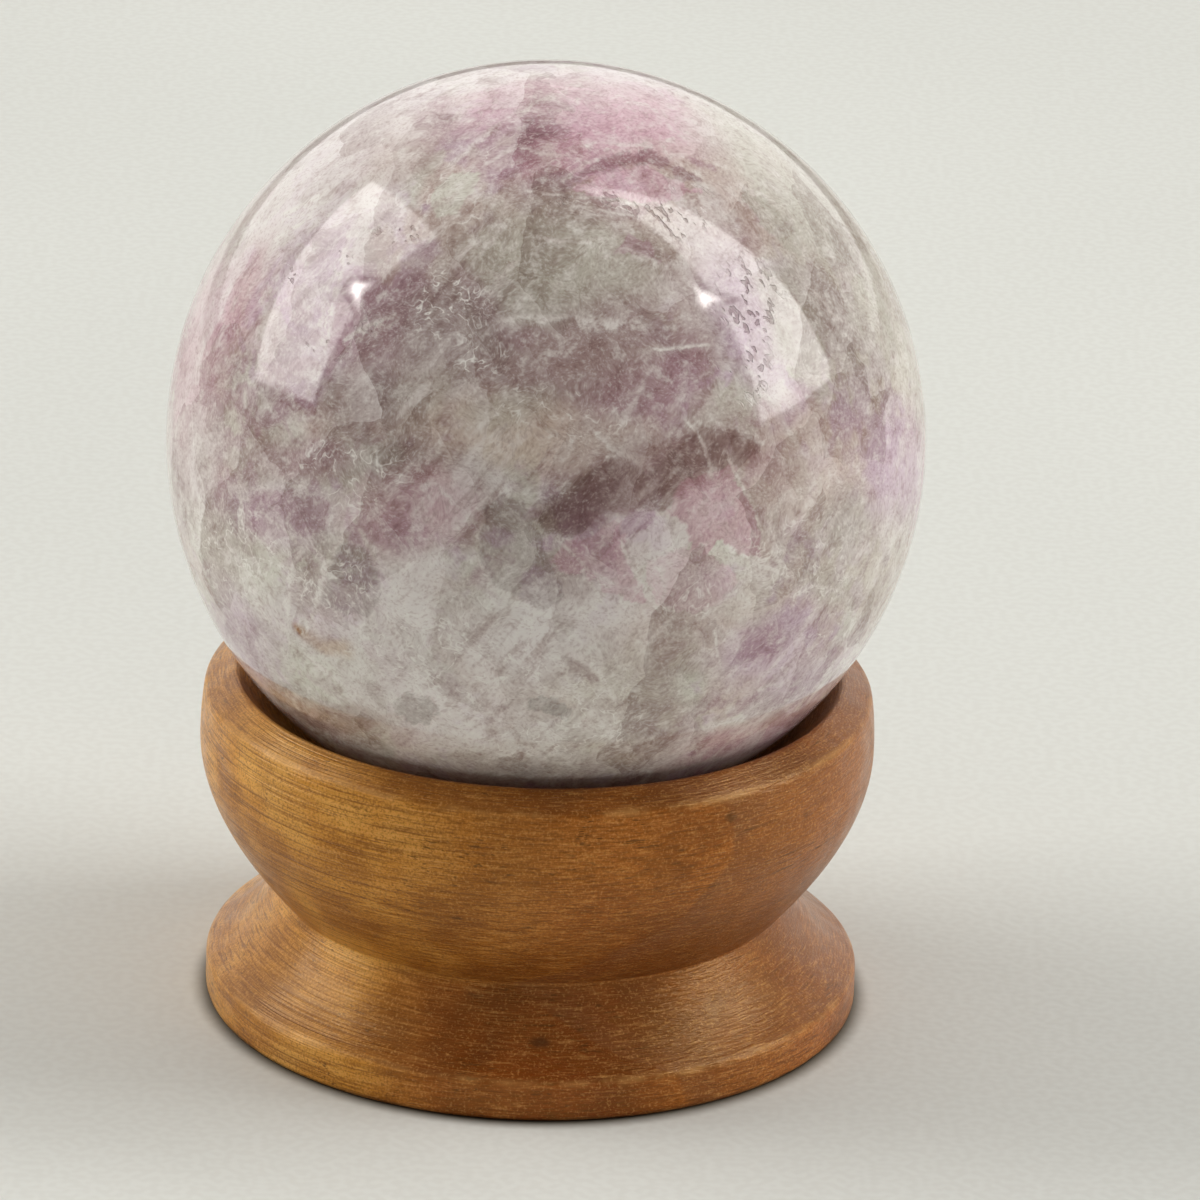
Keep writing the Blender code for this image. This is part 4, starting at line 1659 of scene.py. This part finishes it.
def curved(start: Point, pull: Point, end: Point, steps: int) -> list[Point]:
    """Returns points on a quadratic curve, without its start.

    Args:
        start: Where the curve begins.
        pull: The point that bends it.
        end: Where it ends.
        steps: How many points it has.

    Returns:
        The points.
    """
    points = []
    for step in range(1, steps + 1):
        t = step / steps
        weights = ((1 - t) ** 2, 2 * t * (1 - t), t**2)
        points.append(tuple(
            weights[0] * a + weights[1] * b + weights[2] * c for a, b, c in zip(start, pull, end)
        ))
    return points


def rounded(before: Point, corner: Point, after: Point, cut: float, steps: int = 6) -> list[Point]:
    """Returns the points of a corner with its tip rounded.

    Args:
        before: A point on the way in.
        corner: The corner.
        after: A point on the way out.
        cut: How far from the corner the rounding begins and ends.
        steps: How many facets the rounding has.

    Returns:
        The points, from the one where the rounding begins.
    """
    near = cut / math.dist(before, corner)
    far = cut / math.dist(corner, after)
    start = tuple(c + near * (b - c) for b, c in zip(before, corner))
    end = tuple(c + far * (a - c) for a, c in zip(after, corner))
    return [start] + curved(start, corner, end, steps)


def finished(name: str, shape: bmesh.types.BMesh) -> bpy.types.Object:
    """Turns a bmesh into an object of the scene.

    Args:
        name: The object's name.
        shape: The mesh, which is freed.

    Returns:
        The object.
    """
    mesh = bpy.data.meshes.new(name)
    shape.to_mesh(mesh)
    shape.free()
    piece = bpy.data.objects.new(name, mesh)
    bpy.context.scene.collection.objects.link(piece)
    return piece


# The studio


@dataclass(frozen=True)
class SoftPanel:
    """A soft light with a dark frame, by the ways to its four corners from the ball."""

    name: str
    corners: tuple[tuple[float, float, float], ...]
    radiance: float
    colour: tuple[float, float, float, float] = (1.0, 0.975, 0.945, 1.0)
    distance: float = 1.35
    frame: float = 1.16

    def build(self, ball_centre: Vector) -> None:
        """Hangs the light and its frame.

        Args:
            ball_centre: The middle of the ball, which the panel is turned to.
        """
        glowing = ShaderSheet(self.name)
        glowing.shader.inputs["Base Color"].default_value = (0.0, 0.0, 0.0, 1.0)
        glowing.shader.inputs["Emission Color"].default_value = self.colour
        glowing.shader.inputs["Emission Strength"].default_value = self.radiance
        self.sheet_of(ball_centre, self.name, 1.0, 1.0, glowing.material)
        if self.frame > 1.0:
            dark = ShaderSheet(self.name + "_frame")
            dark.shader.inputs["Base Color"].default_value = (0.03, 0.03, 0.03, 1.0)
            dark.shader.inputs["Roughness"].default_value = 0.9
            self.sheet_of(ball_centre, self.name + "_frame", self.frame, 1.015, dark.material)

    def sheet_of(
        self, ball_centre: Vector, name: str, spread: float, behind: float, material: bpy.types.Material
    ) -> bpy.types.Object:
        """Stretches one flat sheet between the panel's corners.

        Args:
            ball_centre: The middle of the ball.
            name: The sheet's name.
            spread: The sheet's size, in shares of the panel's.
            behind: Its distance, in shares of the panel's.
            material: What it is made of.

        Returns:
            The sheet.
        """
        ways = [Vector(corner).normalized() for corner in self.corners]
        middle = sum(ways, Vector()) / len(ways)
        shape = bmesh.new()
        verts = [shape.verts.new(ball_centre + (middle + (way - middle) * spread) * self.distance * behind) for way in ways]
        shape.faces.new(verts)
        if shape.faces[:][0].normal.dot(middle) > 0:
            bmesh.ops.reverse_faces(shape, faces=shape.faces)
        sheet = finished(name, shape)
        sheet.data.materials.append(material)
        return sheet


@dataclass(frozen=True)
class Glint:
    """A small bright lamp that fades outwards along uneven rays. Lengths are in metres."""

    name: str
    way: tuple[float, float, float]
    rays: tuple[tuple[float, float], ...]
    radiance: float = 44.0
    distance: float = 0.9

    def build(self, ball_centre: Vector) -> None:
        """Hangs the lamp.

        Args:
            ball_centre: The middle of the ball, which the lamp is turned to.
        """
        ahead = Vector(self.way).normalized()
        across = ahead.cross(Vector((0.0, 0.0, 1.0))).normalized()
        upright = across.cross(ahead)
        shape = bmesh.new()
        mark = shape.verts.layers.float.new("glow")
        middle = shape.verts.new(ball_centre + ahead * self.distance)
        middle[mark] = 1.0
        tips = []
        for degrees, reach in self.rays:
            angle = math.radians(degrees)
            tips.append(shape.verts.new(middle.co + (across * math.cos(angle) + upright * math.sin(angle)) * reach))
        for tip, following in zip(tips, (*tips[1:], tips[0])):
            shape.faces.new((middle, tip, following))
        lamp = finished(self.name, shape)
        sheet = ShaderSheet(self.name)
        sheet.shader.inputs["Base Color"].default_value = (0.0, 0.0, 0.0, 1.0)
        sheet.shader.inputs["Emission Color"].default_value = (1.0, 0.97, 0.93, 1.0)
        glow = sheet.math("POWER", sheet.attribute("glow"), 3.0)
        level = sheet.math("MULTIPLY", glow, self.radiance)
        sheet.feed(sheet.shader.inputs["Emission Strength"], level)
        lamp.data.materials.append(sheet.material)


@dataclass(frozen=True)
class PaleFloor:
    """A matt, pale surface, a little uneven in tone, with a painted contact shadow round the stand's foot and painted
    shade far from it.
    """

    def build(self) -> bpy.types.Material:
        """Returns the material."""
        sheet = ShaderSheet("pale_floor")
        place = sheet.object_place()
        slow = sheet.noise(place, 9.0, 1.0)
        fine = sheet.noise(place, 1600.0, 0.0)
        colour = sheet.ramp(sheet.band(slow, 0.3, 0.7), (
            (0.0, paint(217, 219, 214)),
            (1.0, paint(223, 225, 220)),
        ))
        colour = sheet.mix(sheet.band(fine, 0.3, 0.7, 0.0, 0.10), colour, paint(180, 175, 166))
        # Painted contact shadow: a dark ring on the floor just round the stand's foot.
        from_stand = sheet.vector("LENGTH", place)
        colour = sheet.mix(sheet.band(from_stand, 0.0231, 0.0214, 0.0, 0.95), colour, paint(84, 70, 48))
        # Painted shade: the floor turns darker from 0.38 m to 0.5 m out from the stand.
        colour = sheet.mix(sheet.band(from_stand, 0.38, 0.5), colour, paint(126, 122, 116))
        sheet.feed(sheet.shader.inputs["Base Color"], colour)
        sheet.feed(sheet.shader.inputs["Normal"], sheet.relief(fine, 2.0e-5))
        sheet.shader.inputs["Roughness"].default_value = 0.85
        sheet.shader.inputs["Specular IOR Level"].default_value = 0.15
        return sheet.material


@dataclass
class Studio:
    """The floor, the soft light and the camera."""

    floor_reach: float = 4.0
    panels: tuple[SoftPanel, ...] = (
        SoftPanel(
            "left_panel",
            ((-0.562, 0.550, 0.618), (-0.972, 0.213, 0.099), (-0.955, -0.212, 0.207), (-0.478, 0.021, 0.878)),
            4.2, frame=1.3,
        ),
        SoftPanel(
            "right_panel",
            ((0.097, 0.207, 0.974), (0.916, -0.327, 0.231), (0.961, 0.209, 0.180), (0.400, 0.470, 0.790)),
            4.8, frame=1.4,
        ),
    )

    glints: tuple[Glint, ...] = (
        Glint("left_glint", (-0.777, -0.012, 0.631), ((0, 0.08), (60, 0.05), (120, 0.15), (160, 0.08), (200, 0.20), (260, 0.06), (310, 0.09))),
        Glint("right_glint", (0.66, -0.16, 0.728), ((20, 0.08), (60, 0.05), (100, 0.16), (150, 0.06), (215, 0.20), (270, 0.06), (320, 0.10))),
    )

    def build(self, ball_centre: Vector) -> None:
        """Sets up the studio.

        Args:
            ball_centre: The middle of the ball.
        """
        self.floor()
        self.surround()
        for light in (*self.panels, *self.glints):
            light.build(ball_centre)
        VIEWPOINT.build()

    def floor(self) -> bpy.types.Object:
        """Lays the floor just under the stand."""
        shape = bmesh.new()
        bmesh.ops.create_grid(shape, x_segments=8, y_segments=8, size=self.floor_reach)
        piece = finished("floor", shape)
        piece.data.materials.append(PaleFloor().build())
        return piece

    def surround(self) -> None:
        """Lights the room evenly, brighter behind the piece than on the viewer's side."""
        world = bpy.data.worlds.new("studio")
        world.use_nodes = True
        tree = world.node_tree
        way = tree.nodes.new("ShaderNodeTexCoord")
        split = tree.nodes.new("ShaderNodeSeparateXYZ")
        tree.links.new(way.outputs["Generated"], split.inputs["Vector"])
        level = tree.nodes.new("ShaderNodeMapRange")
        level.interpolation_type = "SMOOTHSTEP"
        for name, number in zip(("From Min", "From Max", "To Min", "To Max"), (0.3, 0.95, 0.29, 1.02)):
            level.inputs[name].default_value = number
        tree.links.new(split.outputs["Y"], level.inputs["Value"])
        background = tree.nodes["Background"]
        background.inputs["Color"].default_value = (1.0, 0.985, 0.955, 1.0)
        tree.links.new(level.outputs["Result"], background.inputs["Strength"])
        bpy.context.scene.world = world
        bpy.context.scene.view_settings.view_transform = "Standard"


def main() -> None:
    """Builds the ball, the stand and the studio in order."""
    logging.basicConfig(level=logging.INFO, format="%(name)s: %(message)s")
    ball = StoneSphere()
    piece = ball.build()
    log.info("%s: %d faces", piece.name, len(piece.data.polygons))
    piece = TurnedStand(ball=ball).build()
    log.info("%s: %d faces", piece.name, len(piece.data.polygons))
    Studio().build(ball.centre)
    log.info("studio: floor, %d panels, camera", len(Studio().panels))


if __name__ == "__main__":
    main()
